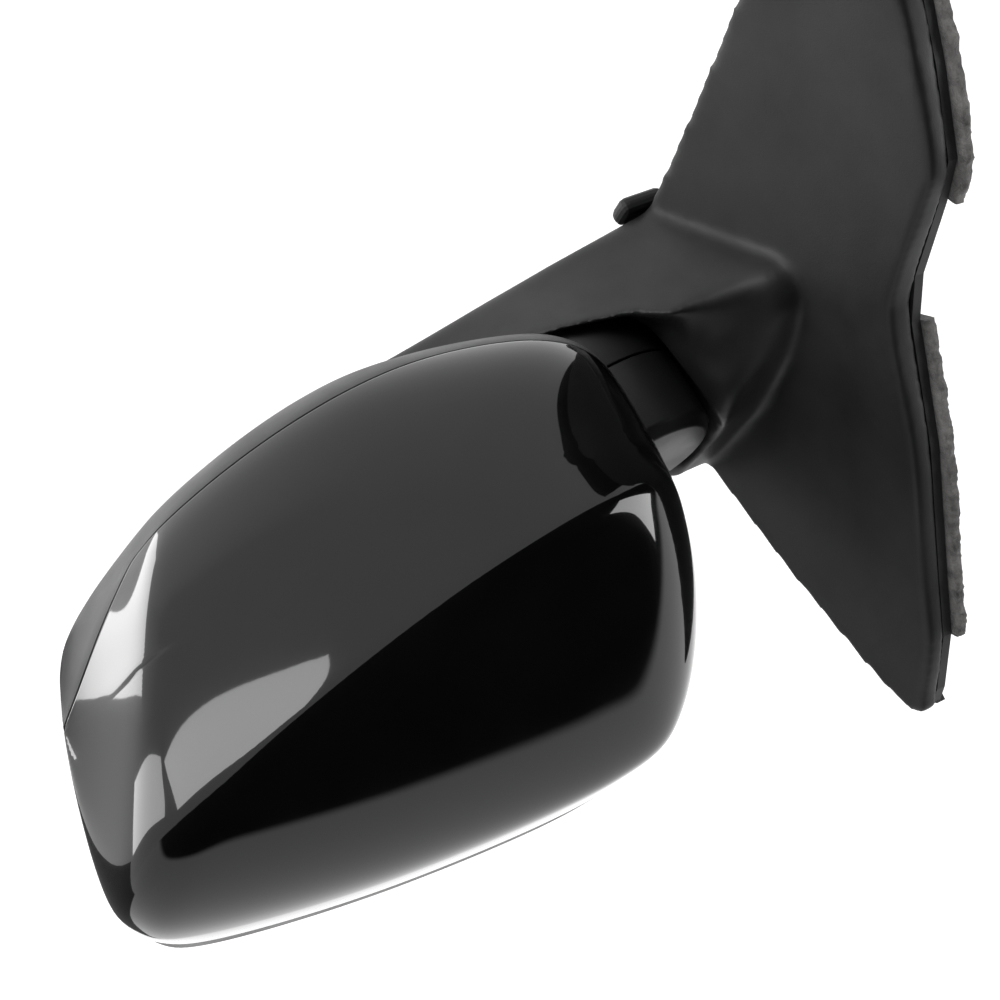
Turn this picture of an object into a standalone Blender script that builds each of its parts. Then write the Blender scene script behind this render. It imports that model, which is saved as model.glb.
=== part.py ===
"""Left-hand door mirror of a car, as an assembly of separate solids.

Row frame: +X points out from the door, -Y is the car's forward direction and +Z is up.
The door's skin is the plane X = 0. Lengths below are millimetres, turned into metres by MM.
"""
import math

import bmesh
import bpy
from mathutils import Matrix, Vector

MM = 0.001
GAP = 0.3                      # clearance left between touching pieces

# ---- driving dimensions -----------------------------------------------------------------
FOLD_X, FOLD_Y = 74.0, -12.0   # the vertical fold axis
HEAD_SWEEP = math.radians(12)  # how far the head's long axis is swept back
NECK_R = 28.5                  # drum of the head that sits in the foot's cup
CUP_R = 31.0
CUP_FLOOR_Z = 3.6
DRUM_TOP_Z = 58.0
DRUM_SPLIT_Z = 26.0
SIDE_DEPTH = 20.0              # the head is widest this far in front of the fold axis
RIM_Y = 26.0                   # rear face of the rim round the glass
CAP_WALL = 2.4
HOUSING_WALL = 2.2
FOOT_WALL = 3.0
FOOT_BOTTOM_Z = -27.0
SAIL_LEAN = math.radians(5.5)
SAIL_TOE = math.radians(4.0)
SAIL_FACE_X = 34.0             # outer face of the sail at y = 0, z = 0
GLASS_CENTRE = (126.0, 74.0)   # x', z of the glass centre in the head's own frame
PIVOT_Y = 10.0                 # the gimbal's centre
PLUNGER_ARM = 27.0             # lever arm of each plunger
PLATE_X = (5.0, 9.0)           # carrier plate behind the sail
GASKET_X = (0.0, 4.7)

# widest outline of the head and the outline of its rear rim: x', z, anticlockwise from the neck
WIDE_OUTLINE = [(8, 50), (12, 18), (40, 1), (100, -10), (165, 1), (214, 24), (233, 52), (247, 106),
                (244, 129), (222, 141), (155, 154), (78, 159), (45, 148), (18, 108)]
REAR_OUTLINE = [(12, 66), (26, 26), (50, 5), (102, -4), (163, 7), (208, 29), (226, 55), (240, 106),
                (236, 125), (216, 136), (152, 148), (80, 153), (48, 142), (20, 106)]
# the sail's edge: y, z, from the rear bottom corner up and round
SAIL_OUTLINE = [(20, -26), (20, 60), (19, 116), (15, 164), (9, 181), (1, 178), (-20, 165), (-37, 148),
                (-74, 112), (-103, 76), (-118, 66), (-148, 56), (-164, 49), (-185, 24), (-199, 4),
                (-220, -38), (-222, -50), (-212, -59), (-143, -44), (-47, -27)]
# corners of the foot's section at each x: rear y, rear top z, then y, z of the back of the top, the
# shoulder's two edges and the ridge, then y of the front bottom edge
FOOT_STATIONS = [
    (24, 21, 57, -28, 58, -60, 53, -80, 44, -85, 31, -45),
    (34, 21, 57, -27, 58, -58, 52, -76, 43, -81, 31, -40),
    (42, 21, 57, -28, 59, -50, 54, -62, 43, -76, 30, -36.5),
    (50, 20, 56, -30, 59, -44, 54, -48, 40, -71, 29, -33),
    (55, 21, 40, -30, 41, -44, 38, -50, 32, -68.5, 28, -30.7),
    (60, 22, 20, -36, 21, -46, 22, -56, 27, -65.5, 27, -28.5),
    (66, 24, 10, -36, 12, -47, 16, -55, 22, -63, 25.5, -25.8),
    (72, 24, 3.6, -32, 4.5, -42, 10, -50, 15.5, -56, 18, -23),
    (80, 24, 3.6, -30, 4, -38, 8, -46, 12, -50, 13.5, -18.7),
    (95, 25, 0, -28, 1, -33, 4, -39, 7, -42, 7.5, -10.8),
    (108, 26, -3, -12, -2, -18, -1, -23, 0, -26, 0, -3.8),
    (121, 27, -9, 2, -8.5, -3, -8, -8, -8, -11, -8, 3),
    (140, 28, -16, 14, -16, 10, -17, 8, -17.5, 5, -18.5, 13),
    (152, 26, -21, 22, -21, 21, -22, 19, -23, 17, -24, 20),
]
RIM_SAMPLES = 46               # points round each ring of the head


# ---- scene and small helpers --------------------------------------------------------------
def clear_scene():
    """Remove every object of the start-up scene."""
    for obj in list(bpy.data.objects):
        bpy.data.objects.remove(obj, do_unlink=True)


clear_scene()
PARTS = bpy.data.collections.new("car_side_mirror")
CUTTERS = bpy.data.collections.new("cutters")
for group in (PARTS, CUTTERS):
    bpy.context.scene.collection.children.link(group)

HEAD_MATRIX = Matrix.Translation((FOLD_X * MM, FOLD_Y * MM, 0)) @ Matrix.Rotation(HEAD_SWEEP, 4, 'Z')
head_axis = bpy.data.objects.new("head_axis", None)
PARTS.objects.link(head_axis)
head_axis.matrix_world = HEAD_MATRIX


def material(name, colour, roughness, metallic=0.0):
    """A Principled material."""
    mat = bpy.data.materials.new(name)
    mat.use_nodes = True
    shader = mat.node_tree.nodes["Principled BSDF"]
    shader.inputs["Base Color"].default_value = (*colour, 1.0)
    shader.inputs["Roughness"].default_value = roughness
    shader.inputs["Metallic"].default_value = metallic
    return mat


PAINT = material("black_gloss_paint", (0.012, 0.012, 0.013), 0.08)
TEXTURED = material("textured_black_plastic", (0.020, 0.020, 0.021), 0.55)
PLASTIC = material("inner_black_plastic", (0.030, 0.030, 0.032), 0.5)
CAST = material("die_cast_alloy", (0.45, 0.45, 0.46), 0.45, 1.0)
STEEL = material("zinc_plated_steel", (0.62, 0.62, 0.60), 0.35, 1.0)
FOAM = material("grey_foam", (0.35, 0.35, 0.34), 0.95)
RUBBER = material("black_rubber", (0.02, 0.02, 0.02), 0.8)
NYLON = material("natural_nylon", (0.75, 0.73, 0.66), 0.45)
BRASS = material("brass", (0.75, 0.56, 0.25), 0.3, 1.0)
SILVER = material("silvered_glass", (0.85, 0.88, 0.90), 0.02, 1.0)
FOIL = material("heater_foil", (0.55, 0.45, 0.35), 0.5, 0.4)


def add_object(name, mesh, mat=None, on_head=False, cutter=False):
    """Put a mesh in the scene, on the head's axis or in the row frame."""
    obj = bpy.data.objects.new(name, mesh)
    (CUTTERS if cutter else PARTS).objects.link(obj)
    if on_head:
        obj.parent = head_axis
    if cutter:
        obj.hide_render = True
        obj.display_type = 'WIRE'
    if mat:
        mesh.materials.clear()
        mesh.materials.append(mat)
        mesh.shade_smooth()
        mesh.set_sharp_from_angle(angle=math.radians(32))
    return obj


def mesh_from(bm, name):
    """Turn a bmesh in millimetres into a mesh in metres."""
    bmesh.ops.scale(bm, vec=(MM, MM, MM), verts=bm.verts)
    bmesh.ops.recalc_face_normals(bm, faces=bm.faces)
    mesh = bpy.data.meshes.new(name)
    bm.to_mesh(mesh)
    bm.free()
    return mesh


AXIS_TURN = {'X': Matrix.Rotation(math.radians(90), 4, 'Y'),
             'Y': Matrix.Rotation(math.radians(-90), 4, 'X'),
             'Z': Matrix.Identity(4)}


def box_mesh(name, low, high):
    """A box between two corners."""
    bm = bmesh.new()
    bmesh.ops.create_cube(bm, size=1.0)
    size = [b - a for a, b in zip(low, high)]
    centre = [(a + b) / 2 for a, b in zip(low, high)]
    bmesh.ops.scale(bm, vec=size, verts=bm.verts)
    bmesh.ops.translate(bm, vec=centre, verts=bm.verts)
    return mesh_from(bm, name)


def rod_mesh(name, centre, start, end, radius, axis='Z', sides=32, end_radius=None):
    """A cylinder or cone along an axis, from start to end on it; centre gives the other places."""
    bm = bmesh.new()
    top = radius if end_radius is None else end_radius
    bmesh.ops.create_cone(bm, cap_ends=True, segments=sides, radius1=radius, radius2=top, depth=end - start)
    turn = AXIS_TURN[axis]
    along = turn @ Vector((0, 0, 1))
    place = Vector(centre) + along * ((start + end) / 2)
    bmesh.ops.transform(bm, matrix=Matrix.Translation(place) @ turn, verts=bm.verts)
    return mesh_from(bm, name)


def turned_mesh(name, profile, centre=(0, 0, 0), axis='Z', sides=28):
    """A turned solid: a profile of (radius, height) spun round an axis, closed or ending on it."""
    bm = bmesh.new()
    verts = [bm.verts.new((r, 0, h)) for r, h in profile]
    edges = [bm.edges.new((a, b)) for a, b in zip(verts, verts[1:] + verts[:1]) if a.co.x > 0 or b.co.x > 0]
    bmesh.ops.spin(bm, geom=verts + edges, cent=(0, 0, 0), axis=(0, 0, 1), angle=math.tau,
                   steps=sides, use_merge=True)
    bmesh.ops.remove_doubles(bm, verts=bm.verts, dist=1e-4)
    bmesh.ops.transform(bm, matrix=Matrix.Translation(centre) @ AXIS_TURN[axis], verts=bm.verts)
    return mesh_from(bm, name)


def ring_mesh(name, inner, outer, low, high, centre=(0, 0, 0), axis='Z', sides=28):
    """A plain ring with a small chamfer on its outer edges."""
    edge = min(0.4, (high - low) / 4)
    profile = [(inner, low), (outer - edge, low), (outer, low + edge), (outer, high - edge),
               (outer - edge, high), (inner, high)]
    return turned_mesh(name, profile, centre, axis, sides)


def cut(obj, cutter_mesh, on_head=False, operation='DIFFERENCE'):
    """Cut an object with a mesh, or join the mesh to it."""
    tool = add_object(f"{obj.name}_tool_{len(obj.modifiers)}", cutter_mesh, on_head=on_head, cutter=True)
    step = obj.modifiers.new("shape", 'BOOLEAN')
    step.operation = operation
    step.solver = 'EXACT'
    step.object = tool
    return obj


def join(obj, other_mesh, on_head=False):
    """Join a mesh to an object."""
    return cut(obj, other_mesh, on_head, 'UNION')


def round_edges(obj, width, segments=2, angle=40):
    """Bevel the sharp edges of an object."""
    step = obj.modifiers.new("rounded", 'BEVEL')
    step.width = width * MM
    step.segments = segments
    step.limit_method = 'ANGLE'
    step.angle_limit = math.radians(angle)
    return obj


def spline_loop(points, count):
    """Evenly spaced points on the closed smooth curve through the given points."""
    dense = []
    size = len(points)
    for i in range(size):
        before, start, end, after = (Vector((*points[(i + k) % size], 0)) for k in (-1, 0, 1, 2))
        for k in range(12):
            t = k / 12
            dense.append(0.5 * (2 * start + (end - before) * t
                                + (2 * before - 5 * start + 4 * end - after) * t * t
                                + (3 * start - before - 3 * end + after) * t ** 3))
    lengths = [0.0]
    for a, b in zip(dense, dense[1:] + dense[:1]):
        lengths.append(lengths[-1] + (b - a).length)
    loop = []
    index = 0
    for k in range(count):
        want = lengths[-1] * k / count
        while lengths[index + 1] < want:
            index += 1
        part = (want - lengths[index]) / (lengths[index + 1] - lengths[index])
        loop.append(dense[index].lerp(dense[(index + 1) % len(dense)], part).to_2d())
    return loop


def loft(name, rings, cap_start=True, cap_end=True):
    """Skin a stack of rings that have the same number of points."""
    bm = bmesh.new()
    rows = [[bm.verts.new(p) for p in ring] for ring in rings]
    for row, following in zip(rows, rows[1:]):
        for i in range(len(row)):
            j = (i + 1) % len(row)
            bm.faces.new((row[i], row[j], following[j], following[i]))
    if cap_start:
        bm.faces.new(list(reversed(rows[0])))
    if cap_end:
        bm.faces.new(rows[-1])
    return mesh_from(bm, name)


# ---- the head's skin ------------------------------------------------------------------------
CREASE_Z = 88.5
CREASE_RISE = 0.00062
CREST_DEPTH = 95.0
CREST_X = 85.0
CREST_FALL = 0.00105
CAP_REAR_Y = 4.0
CAP_GAP = 1.5                 # joint between the cap's edge and the housing


def crease_height(x):
    """Height of the crease that runs along the cap."""
    return CREASE_Z + CREASE_RISE * x * x


def parting_height(x):
    """Height of the cap's lower edge on the front of the head."""
    reach = x - 90
    return 7 + (0.00145 if reach > 0 else 0.0041) * reach * reach


def blended_min(a, b, width):
    """The smaller of two numbers, with the corner between them rounded."""
    low = min(a, b)
    return low - width * math.log(math.exp((low - a) / width) + math.exp((low - b) / width))


def face_depth(x, z):
    """How far in front of the fold axis the cap's three faces stand."""
    crest = CREST_DEPTH - CREST_FALL * (x - CREST_X) ** 2
    rise = z - crease_height(x)
    lower = crest + 0.17 * rise - 0.0009 * rise * rise
    upper = crest - 0.62 * rise - 0.0030 * rise * abs(rise)
    ridge_x = 194 + 0.77 * (z - 58)
    end = crest - 1.15 * (x - ridge_x)
    return blended_min(blended_min(lower, upper, 2.0), end, 3.0)


def front_point(rim, radius):
    """A point of the domed front: rim is the widest outline's point, radius runs 0 to 1."""
    cx, cz = GLASS_CENTRE
    x, z = cx + (rim.x - cx) * radius, cz + (rim.y - cz) * radius
    dome = max(0.0, 1 - radius ** 6) ** (1 / 2.2)
    return Vector((x, -(SIDE_DEPTH + (face_depth(x, z) - SIDE_DEPTH) * dome), z))


def side_point(rim, rear, part):
    """A point of the side wall between the widest outline and the rim."""
    flat = rim.lerp(rear, part ** 1.3)
    return Vector((flat.x, -SIDE_DEPTH + (RIM_Y + SIDE_DEPTH) * part, flat.y))


WIDE_LOOP = spline_loop(WIDE_OUTLINE, RIM_SAMPLES)
REAR_LOOP = spline_loop(REAR_OUTLINE, RIM_SAMPLES)
FRONT_STEPS, SIDE_STEPS = 60, 24


def beyond_cap(point):
    """Whether a point of the skin lies past the cap's edge."""
    in_drum = math.hypot(point.x, point.y) < NECK_R + 1.5 and point.z < DRUM_TOP_Z
    beside_neck = min(1.0, max(0.0, (45 - point.x) / 25))
    at_tip = min(1.0, max(0.0, (point.x - 150) / 50))
    climb = 0.7 * beside_neck * max(0.0, point.y + 62) + 0.8 * at_tip * max(0.0, point.y + 45)
    return in_drum or point.y > CAP_REAR_Y or point.z < parting_height(point.x) + climb


def skin_paths():
    """Paths from the front of the head out to its rim, with where the cap ends on each."""
    paths = []
    for rim, rear in zip(WIDE_LOOP, REAR_LOOP):
        path = [front_point(rim, math.sin(math.pi / 2 * k / FRONT_STEPS)) for k in range(FRONT_STEPS + 1)]
        path += [side_point(rim, rear, (k + 1) / SIDE_STEPS) for k in range(SIDE_STEPS)]
        edge = next(k for k, p in enumerate(path) if beyond_cap(p))
        paths.append((path, edge))
    return paths


PATHS = skin_paths()


def along(path, start, end, count):
    """Evenly spaced points on part of a path, both ends included."""
    lengths = [0.0]
    for a, b in zip(path[start:end], path[start + 1:end + 1]):
        lengths.append(lengths[-1] + (b - a).length)
    points = []
    index = 0
    for k in range(count + 1):
        want = lengths[-1] * k / count
        while index < len(lengths) - 2 and lengths[index + 1] < want:
            index += 1
        part = (want - lengths[index]) / (lengths[index + 1] - lengths[index])
        points.append(path[start + index].lerp(path[start + index + 1], part))
    return points


def skin_mesh(name, columns, closed_front):
    """An open skin from the front outwards: one column of points for each ring sample."""
    bm = bmesh.new()
    if closed_front:
        apex = bm.verts.new(columns[0][0])
        columns = [column[1:] for column in columns]
    grid = [[bm.verts.new(p) for p in column] for column in columns]
    for column, following in zip(grid, grid[1:] + grid[:1]):
        if closed_front:
            bm.faces.new((apex, following[0], column[0]))
        for a, b, c, d in zip(column, following, following[1:], column[1:]):
            bm.faces.new((a, b, c, d))
    bmesh.ops.scale(bm, vec=(MM, MM, MM), verts=bm.verts)
    bmesh.ops.reverse_faces(bm, faces=bm.faces)
    mesh = bpy.data.meshes.new(name)
    bm.to_mesh(mesh)
    bm.free()
    return mesh


def thicken(obj, wall):
    """Give an open skin its wall, inwards."""
    step = obj.modifiers.new("wall", 'SOLIDIFY')
    step.thickness = wall * MM
    step.offset = -1.0
    step.use_even_offset = True
    return obj


def head_envelope(extra):
    """The closed outer form of the head, grown by a little."""
    cx, cz = GLASS_CENTRE
    rings = []
    stations = [6, 18, 30, 42, 50, 55, 58, 60, 68, 76, 84]
    for station in stations:
        ring = []
        for path, _ in PATHS:
            point = path[station]
            away = Vector((point.x - cx, 0, point.z - cz)).normalized() * extra
            ring.append(point + away + Vector((0, -extra if station < 60 else 0, 0)))
        rings.append(ring)
    return loft("head_envelope", rings)


def lip_points(rear):
    """The rim's return: across the rear face and forwards round the glass."""
    cx, cz = GLASS_CENTRE

    def inset(distance, y):
        inward = Vector((cx - rear.x, 0, cz - rear.y)).normalized() * distance
        return Vector((rear.x, y, rear.y)) + inward

    return [inset(0.6, RIM_Y + 0.6), inset(4.6, RIM_Y + 0.6), inset(5.4, RIM_Y - 0.4), inset(6.4, 12.0)]


# ---- pieces of the head -----------------------------------------------------------------------
def build_shells():
    """The painted cap, the textured housing and the neck's two drum pieces."""
    cap = add_object("cap", skin_mesh("cap", [along(p, 0, e, 7) for p, e in PATHS], True), PAINT, True)
    thicken(cap, CAP_WALL)
    columns = []
    for (path, edge), rear in zip(PATHS, REAR_LOOP):
        column = along(path, edge, len(path) - 1, 4)
        column[0] = column[0].lerp(column[1], min(0.9, CAP_GAP / (column[1] - column[0]).length))
        columns.append(column + lip_points(rear))
    housing = add_object("lower_housing", skin_mesh("lower_housing", columns, False), TEXTURED, True)
    thicken(housing, HOUSING_WALL)
    cut(housing, rod_mesh("neck_opening", (0, 0, 0), -30, DRUM_TOP_Z - 1.5, NECK_R - 2.8, sides=40), True)
    for name, low, high in (("neck_collar", CUP_FLOOR_Z + 1, DRUM_SPLIT_Z),
                            ("neck_cover", DRUM_SPLIT_Z + 0.5, DRUM_TOP_Z)):
        profile = [(NECK_R - 2.5, low), (NECK_R, low), (NECK_R, high - 5), (NECK_R - 1.6, high - 1.5),
                   (NECK_R - 5, high), (0, high), (0, high - 2.2), (NECK_R - 6, high - 2.2),
                   (NECK_R - 2.5, high - 6)]
        if name == "neck_collar":
            profile = [(NECK_R - 2.5, low), (NECK_R, low), (NECK_R, high), (NECK_R - 2.5, high)]
        drum = add_object(name, turned_mesh(name, profile, sides=36), TEXTURED, True)
        cut(drum, head_envelope(0.9), True)


def build_frame():
    """The head's skeleton: a pierced plate, the pivot socket and the web between them."""
    cx, cz = GLASS_CENTRE
    inset = [Vector((cx + (p.x - cx) * 0.84, -21.5, cz + (p.y - cz) * 0.80)) for p in WIDE_LOOP[::2]]
    plate = [[p + Vector((0, dy, 0)) for p in inset] for dy in (0, 3.0)]
    frame = add_object("head_frame", loft("head_frame", plate), PLASTIC, True)
    join(frame, rod_mesh("socket", (0, 0, 0), 8.4, 46, 19, sides=28), True)
    join(frame, box_mesh("web", (4, -21.4, 28), (34, -8, 44)), True)
    cut(frame, rod_mesh("socket_bore", (0, 0, 0), 12.4, 50, 15.4, sides=28), True)
    cut(frame, rod_mesh("post_hole", (0, 0, 0), 5, 14, 9.0, sides=28), True)
    for x, z, r in ((64, 74, 15), (62, 116, 12), (196, 74, 20), (176, 122, 10), (140, 124, 9), (100, 126, 9),
                    (96, 24, 9), (170, 26, 9)):
        cut(frame, rod_mesh("lightening_hole", (x, 0, z), -24, -16, r, 'Y', 14), True)
    for x, z in SCREW_PLACES:
        cut(frame, rod_mesh("screw_hole", (cx + x, 0, cz + z), -24, -16, 1.15, 'Y', 12), True)


SCREW_PLACES = [(26.0, 27.0), (-36.0, 12.0), (-27.0, -27.0)]
CASE_R = 43.0
CASE_Y = (-18.1, 0.0)
LID_Y = (0.3, 2.3)


def build_actuator():
    """The glass actuator: case, lid with the gimbal's ears, and screws."""
    cx, cz = GLASS_CENTRE
    case = add_object("actuator_case", rod_mesh("case", (cx, 0, cz), *CASE_Y, CASE_R, 'Y', 36), PLASTIC, True)
    cut(case, rod_mesh("case_room", (cx, 0, cz), CASE_Y[0] + 1.9, 5, CASE_R - 1.8, 'Y', 36), True)
    lid = add_object("actuator_lid", rod_mesh("lid", (cx, 0, cz), *LID_Y, CASE_R, 'Y', 36), PLASTIC, True)
    for side in (-1, 1):
        low, high = sorted((cx + side * 15.2, cx + side * 18.2))
        join(lid, box_mesh("ear", (low, LID_Y[1] - 1, cz - 3.2), (high, PIVOT_Y + 2.4, cz + 3.2)), True)
    cut(lid, rod_mesh("ear_bores", (0, PIVOT_Y, cz), cx - 20, cx + 20, 1.5, 'X', 10), True)
    for x, z in SCREW_PLACES:
        join(case, rod_mesh("boss", (cx + x, 0, cz + z), CASE_Y[0] + 0.5, CASE_Y[1] - 0.05, 3.2, 'Y', 16), True)
        cut(case, rod_mesh("boss_bore", (cx + x, 0, cz + z), -20, 2, 1.6, 'Y', 12), True)
        cut(lid, rod_mesh("lid_bore", (cx + x, 0, cz + z), -1, 4, 1.6, 'Y', 12), True)
    for x, z in ((0, PLUNGER_ARM), (PLUNGER_ARM, 0)):
        cut(lid, rod_mesh("plunger_hole", (cx + x, 0, cz + z), -1, 4, 4.5, 'Y', 24), True)
    for index, (x, z) in enumerate(SCREW_PLACES, 1):
        profile = [(0, -21.4), (1.0, -21.4), (1.0, LID_Y[1] + GAP), (2.7, LID_Y[1] + GAP), (2.7, LID_Y[1] + 1.4),
                   (2.2, LID_Y[1] + 1.9), (1.1, LID_Y[1] + 1.9), (1.1, LID_Y[1] + 1.1), (0, LID_Y[1] + 1.1)]
        mesh = turned_mesh("screw", profile, (cx + x, 0, cz + z), 'Y', 16)
        add_object(f"actuator_screw_{index}", mesh, STEEL, True)


GEAR_R, WORM_R = 10.6, 3.0
GEAR_Y = (-10.0, -5.0)
DRIVE_Y = -7.5
WORM_OFFSET = GEAR_R + WORM_R + 0.35
PLUNGER_R, PLUNGER_END_Y, BALL_R = 3.9, -12.0, 3.2
MOTOR_R = 6.6


def toothed_wheel(name, centre):
    """A nut gear: a bored wheel with 16 teeth."""
    bm = bmesh.new()
    teeth, bore = 16, 4.3
    points = teeth * 4
    outer = []
    for k in range(points):
        radius = GEAR_R if k % 4 in (0, 1) else GEAR_R - 1.1
        angle = math.tau * k / points
        outer.append(Vector((radius * math.cos(angle), radius * math.sin(angle), 0)))
    inner = [Vector((bore * math.cos(math.tau * k / points), bore * math.sin(math.tau * k / points), 0)) for k in range(points)]
    rows = []
    for ring, height in ((outer, GEAR_Y[0]), (outer, GEAR_Y[1]), (inner, GEAR_Y[1]), (inner, GEAR_Y[0])):
        rows.append([bm.verts.new(p + Vector((0, 0, height))) for p in ring])
    for row, following in zip(rows, rows[1:] + rows[:1]):
        for i in range(points):
            j = (i + 1) % points
            bm.faces.new((row[i], row[j], following[j], following[i]))
    bmesh.ops.transform(bm, matrix=Matrix.Translation(centre) @ AXIS_TURN['Y'], verts=bm.verts)
    return mesh_from(bm, name)


def build_drives():
    """For each way the glass turns: motor, worm, nut gear and plunger."""
    cx, cz = GLASS_CENTRE
    layouts = {
        "tilt": {"gear": (cx, 0, cz + PLUNGER_ARM), "axis": 'Z', "line": (cx - WORM_OFFSET, DRIVE_Y, 0),
                 "worm": (cz + 17.5, cz + 35.0), "motor": (cz - 10.0, cz + 15.0)},
        "pan": {"gear": (cx + PLUNGER_ARM, 0, cz), "axis": 'X', "line": (0, DRIVE_Y, cz - WORM_OFFSET),
                "worm": (cx + 17.5, cx + 35.0), "motor": (cx - 4.0, cx + 15.0)},
    }
    for name, layout in layouts.items():
        line, axis = layout["line"], layout["axis"]
        low, high = layout["worm"]
        profile = [(0.0, layout["motor"][1] + 0.4), (1.0, layout["motor"][1] + 0.4), (1.0, low)]
        turns = 4
        for k in range(turns):
            base = low + (high - low) * k / turns
            pitch = (high - low) / turns
            profile += [(WORM_R - 1.0, base + 0.1 * pitch), (WORM_R, base + 0.4 * pitch),
                        (WORM_R, base + 0.6 * pitch), (WORM_R - 1.0, base + 0.9 * pitch)]
        profile += [(1.0, high), (0.0, high)]
        add_object(f"worm_{name}", turned_mesh("worm", profile, line, axis, 10), BRASS, True)
        start, end = layout["motor"]
        motor = rod_mesh("motor", line, start, end, MOTOR_R, axis, 28)
        round_edges(add_object(f"motor_{name}", motor, STEEL, True), 0.6, 1)
        gear = layout["gear"]
        add_object(f"screw_gear_{name}", toothed_wheel("screw_gear", gear), NYLON, True)
        stem = [(0, PLUNGER_END_Y), (PLUNGER_R - 0.5, PLUNGER_END_Y), (PLUNGER_R, PLUNGER_END_Y + 0.5),
                (PLUNGER_R, PIVOT_Y - 7.0), (2.0, PIVOT_Y - 5.6), (2.0, PIVOT_Y - 2.6)]
        stem += [(BALL_R * math.cos(math.radians(a)), PIVOT_Y + BALL_R * math.sin(math.radians(a)))
                 for a in range(-50, 90, 28)] + [(0, PIVOT_Y + BALL_R)]
        add_object(f"plunger_{name}", turned_mesh("plunger", stem, gear, 'Y', 16), NYLON, True)


CARRIER_Y = (12.6, 15.0)


def glass_ring(scale, y):
    """The glass outline in the head's frame, shrunk about its centre, at a depth."""
    cx, cz = GLASS_CENTRE
    return [Vector((cx + (p.x - cx) * scale, y, cz + (p.y - cz) * scale)) for p in REAR_LOOP]


def build_glass():
    """Gimbal ring, carrier, heater, glass and bezel."""
    cx, cz = GLASS_CENTRE
    centre = (cx, 0, cz)
    ring = add_object("gimbal_ring", ring_mesh("ring", 8.5, 13.0, 8.2, 11.8, centre, 'Y', 28), NYLON, True)
    for side in (-1, 1):
        start, end = sorted((cx + side * 12.2, cx + side * 17.6))
        join(ring, rod_mesh("ring_pin", (0, PIVOT_Y, cz), start, end, 1.15, 'X', 10), True)
        start, end = sorted((cz + side * 6, cz + side * 14))
        cut(ring, rod_mesh("ring_bore", (cx, PIVOT_Y, 0), start, end, 1.5, 'Z', 10), True)
    plate = loft("carrier", [glass_ring(0.87, y) for y in CARRIER_Y])
    carrier = add_object("glass_carrier", plate, PLASTIC, True)
    cut(carrier, rod_mesh("centre_hole", centre, CARRIER_Y[0] - 1, CARRIER_Y[1] + 1, 19.5, 'Y', 40), True)
    for side in (-1, 1):
        low, high = sorted((cz + side * 15.2, cz + side * 22))
        join(carrier, box_mesh("lug", (cx - 2.6, PIVOT_Y - 2.4, low), (cx + 2.6, CARRIER_Y[1] - 0.2, high)), True)
        start, end = sorted((cz + side * 10, cz + side * 16))
        join(carrier, rod_mesh("lug_pin", (cx, PIVOT_Y, 0), start, end, 1.15, 'Z', 10), True)
    for x, z in ((0, PLUNGER_ARM), (PLUNGER_ARM, 0)):
        spot = (cx + x, 0, cz + z)
        join(carrier, rod_mesh("socket", spot, PIVOT_Y - 2.0, CARRIER_Y[1] - 0.3, 6.0, 'Y', 24), True)
        cut(carrier, rod_mesh("socket_room", spot, PIVOT_Y - 4.0, PIVOT_Y + 4.2, 4.0, 'Y', 24), True)
    add_object("heater_pad", loft("heater_pad", [glass_ring(0.85, y) for y in (15.3, 15.7)]), FOIL, True)
    add_object("mirror_glass", loft("mirror_glass", [glass_ring(0.875, 16.0), glass_ring(0.875, 18.0)]), SILVER, True)
    rows = [glass_ring(s, y) for s, y in ((0.882, 15.2), (0.905, 15.2), (0.905, 18.2), (0.900, 19.2),
                                          (0.872, 19.2), (0.866, 18.4), (0.882, 18.4))]
    add_object("glass_bezel", closed_loft("glass_bezel", rows), TEXTURED, True)


def closed_loft(name, rings):
    """A loft whose last ring joins its first, such as a frame round a window."""
    bm = bmesh.new()
    rows = [[bm.verts.new(p) for p in ring] for ring in rings]
    for row, following in zip(rows, rows[1:] + rows[:1]):
        for i in range(len(row)):
            j = (i + 1) % len(row)
            bm.faces.new((row[i], row[j], following[j], following[i]))
    return mesh_from(bm, name)


# ---- pieces fixed to the door -------------------------------------------------------------------
DOOR_BOSSES = {"front": (-48.0, -10.0), "rear": (4.8, 0.0), "upper": (-22.0, 36.0)}   # y, z
BOSS_R, BOSS_HOLE_R = 7.0, 2.6
POST_R, POST_BORE_R, POST_TOP_Z = 8.5, 5.8, 48.0
POST_SEAT_R, POST_WAY_R = 15.6, 16.2             # the seat under the post, and its way through the foot
BEAM_CORNERS = ((12, -20, -20), (FOLD_X, 3, -3))   # the frame's beam out to the post
SAIL_WALL, SAIL_ROOM_X = 2.6, 2.0
TRAY_SCREWS = ((56.0, 6.0), (112.0, 12.0))       # x, y
TRAY_SET_IN, TRAY_THICK = 0.2, 2.4
LOOM_PLACE = (-20.0, 12.0)     # y, z of the loom's way through the carrier plate


def sail_face_x(y, z):
    """The sail's leaning outer face."""
    return SAIL_FACE_X + y * math.tan(SAIL_TOE) - z * math.tan(SAIL_LEAN)


def inset_outline(points, distance):
    """Move an outline's points inwards (a negative distance is outwards)."""
    moved = []
    for k, point in enumerate(points):
        here, before, after = Vector(point), Vector(points[k - 1]), Vector(points[(k + 1) % len(points)])
        into, away = (here - before).normalized(), (after - here).normalized()
        normal = Vector((-(into + away).y, (into + away).x)).normalized()
        spread = max(0.5, math.sqrt((1 + into.dot(away)) / 2))
        moved.append(here + normal * distance / spread)
    return moved


def side_slab(name, outline, x_low, x_high):
    """A slab of a given outline in y, z; each face is at an x or follows a function of y, z."""
    def place(point, x):
        return Vector((x(point[0], point[1]) if callable(x) else x, point[0], point[1]))
    return loft(name, [[place(p, x) for p in outline] for x in (x_low, x_high)])


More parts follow.
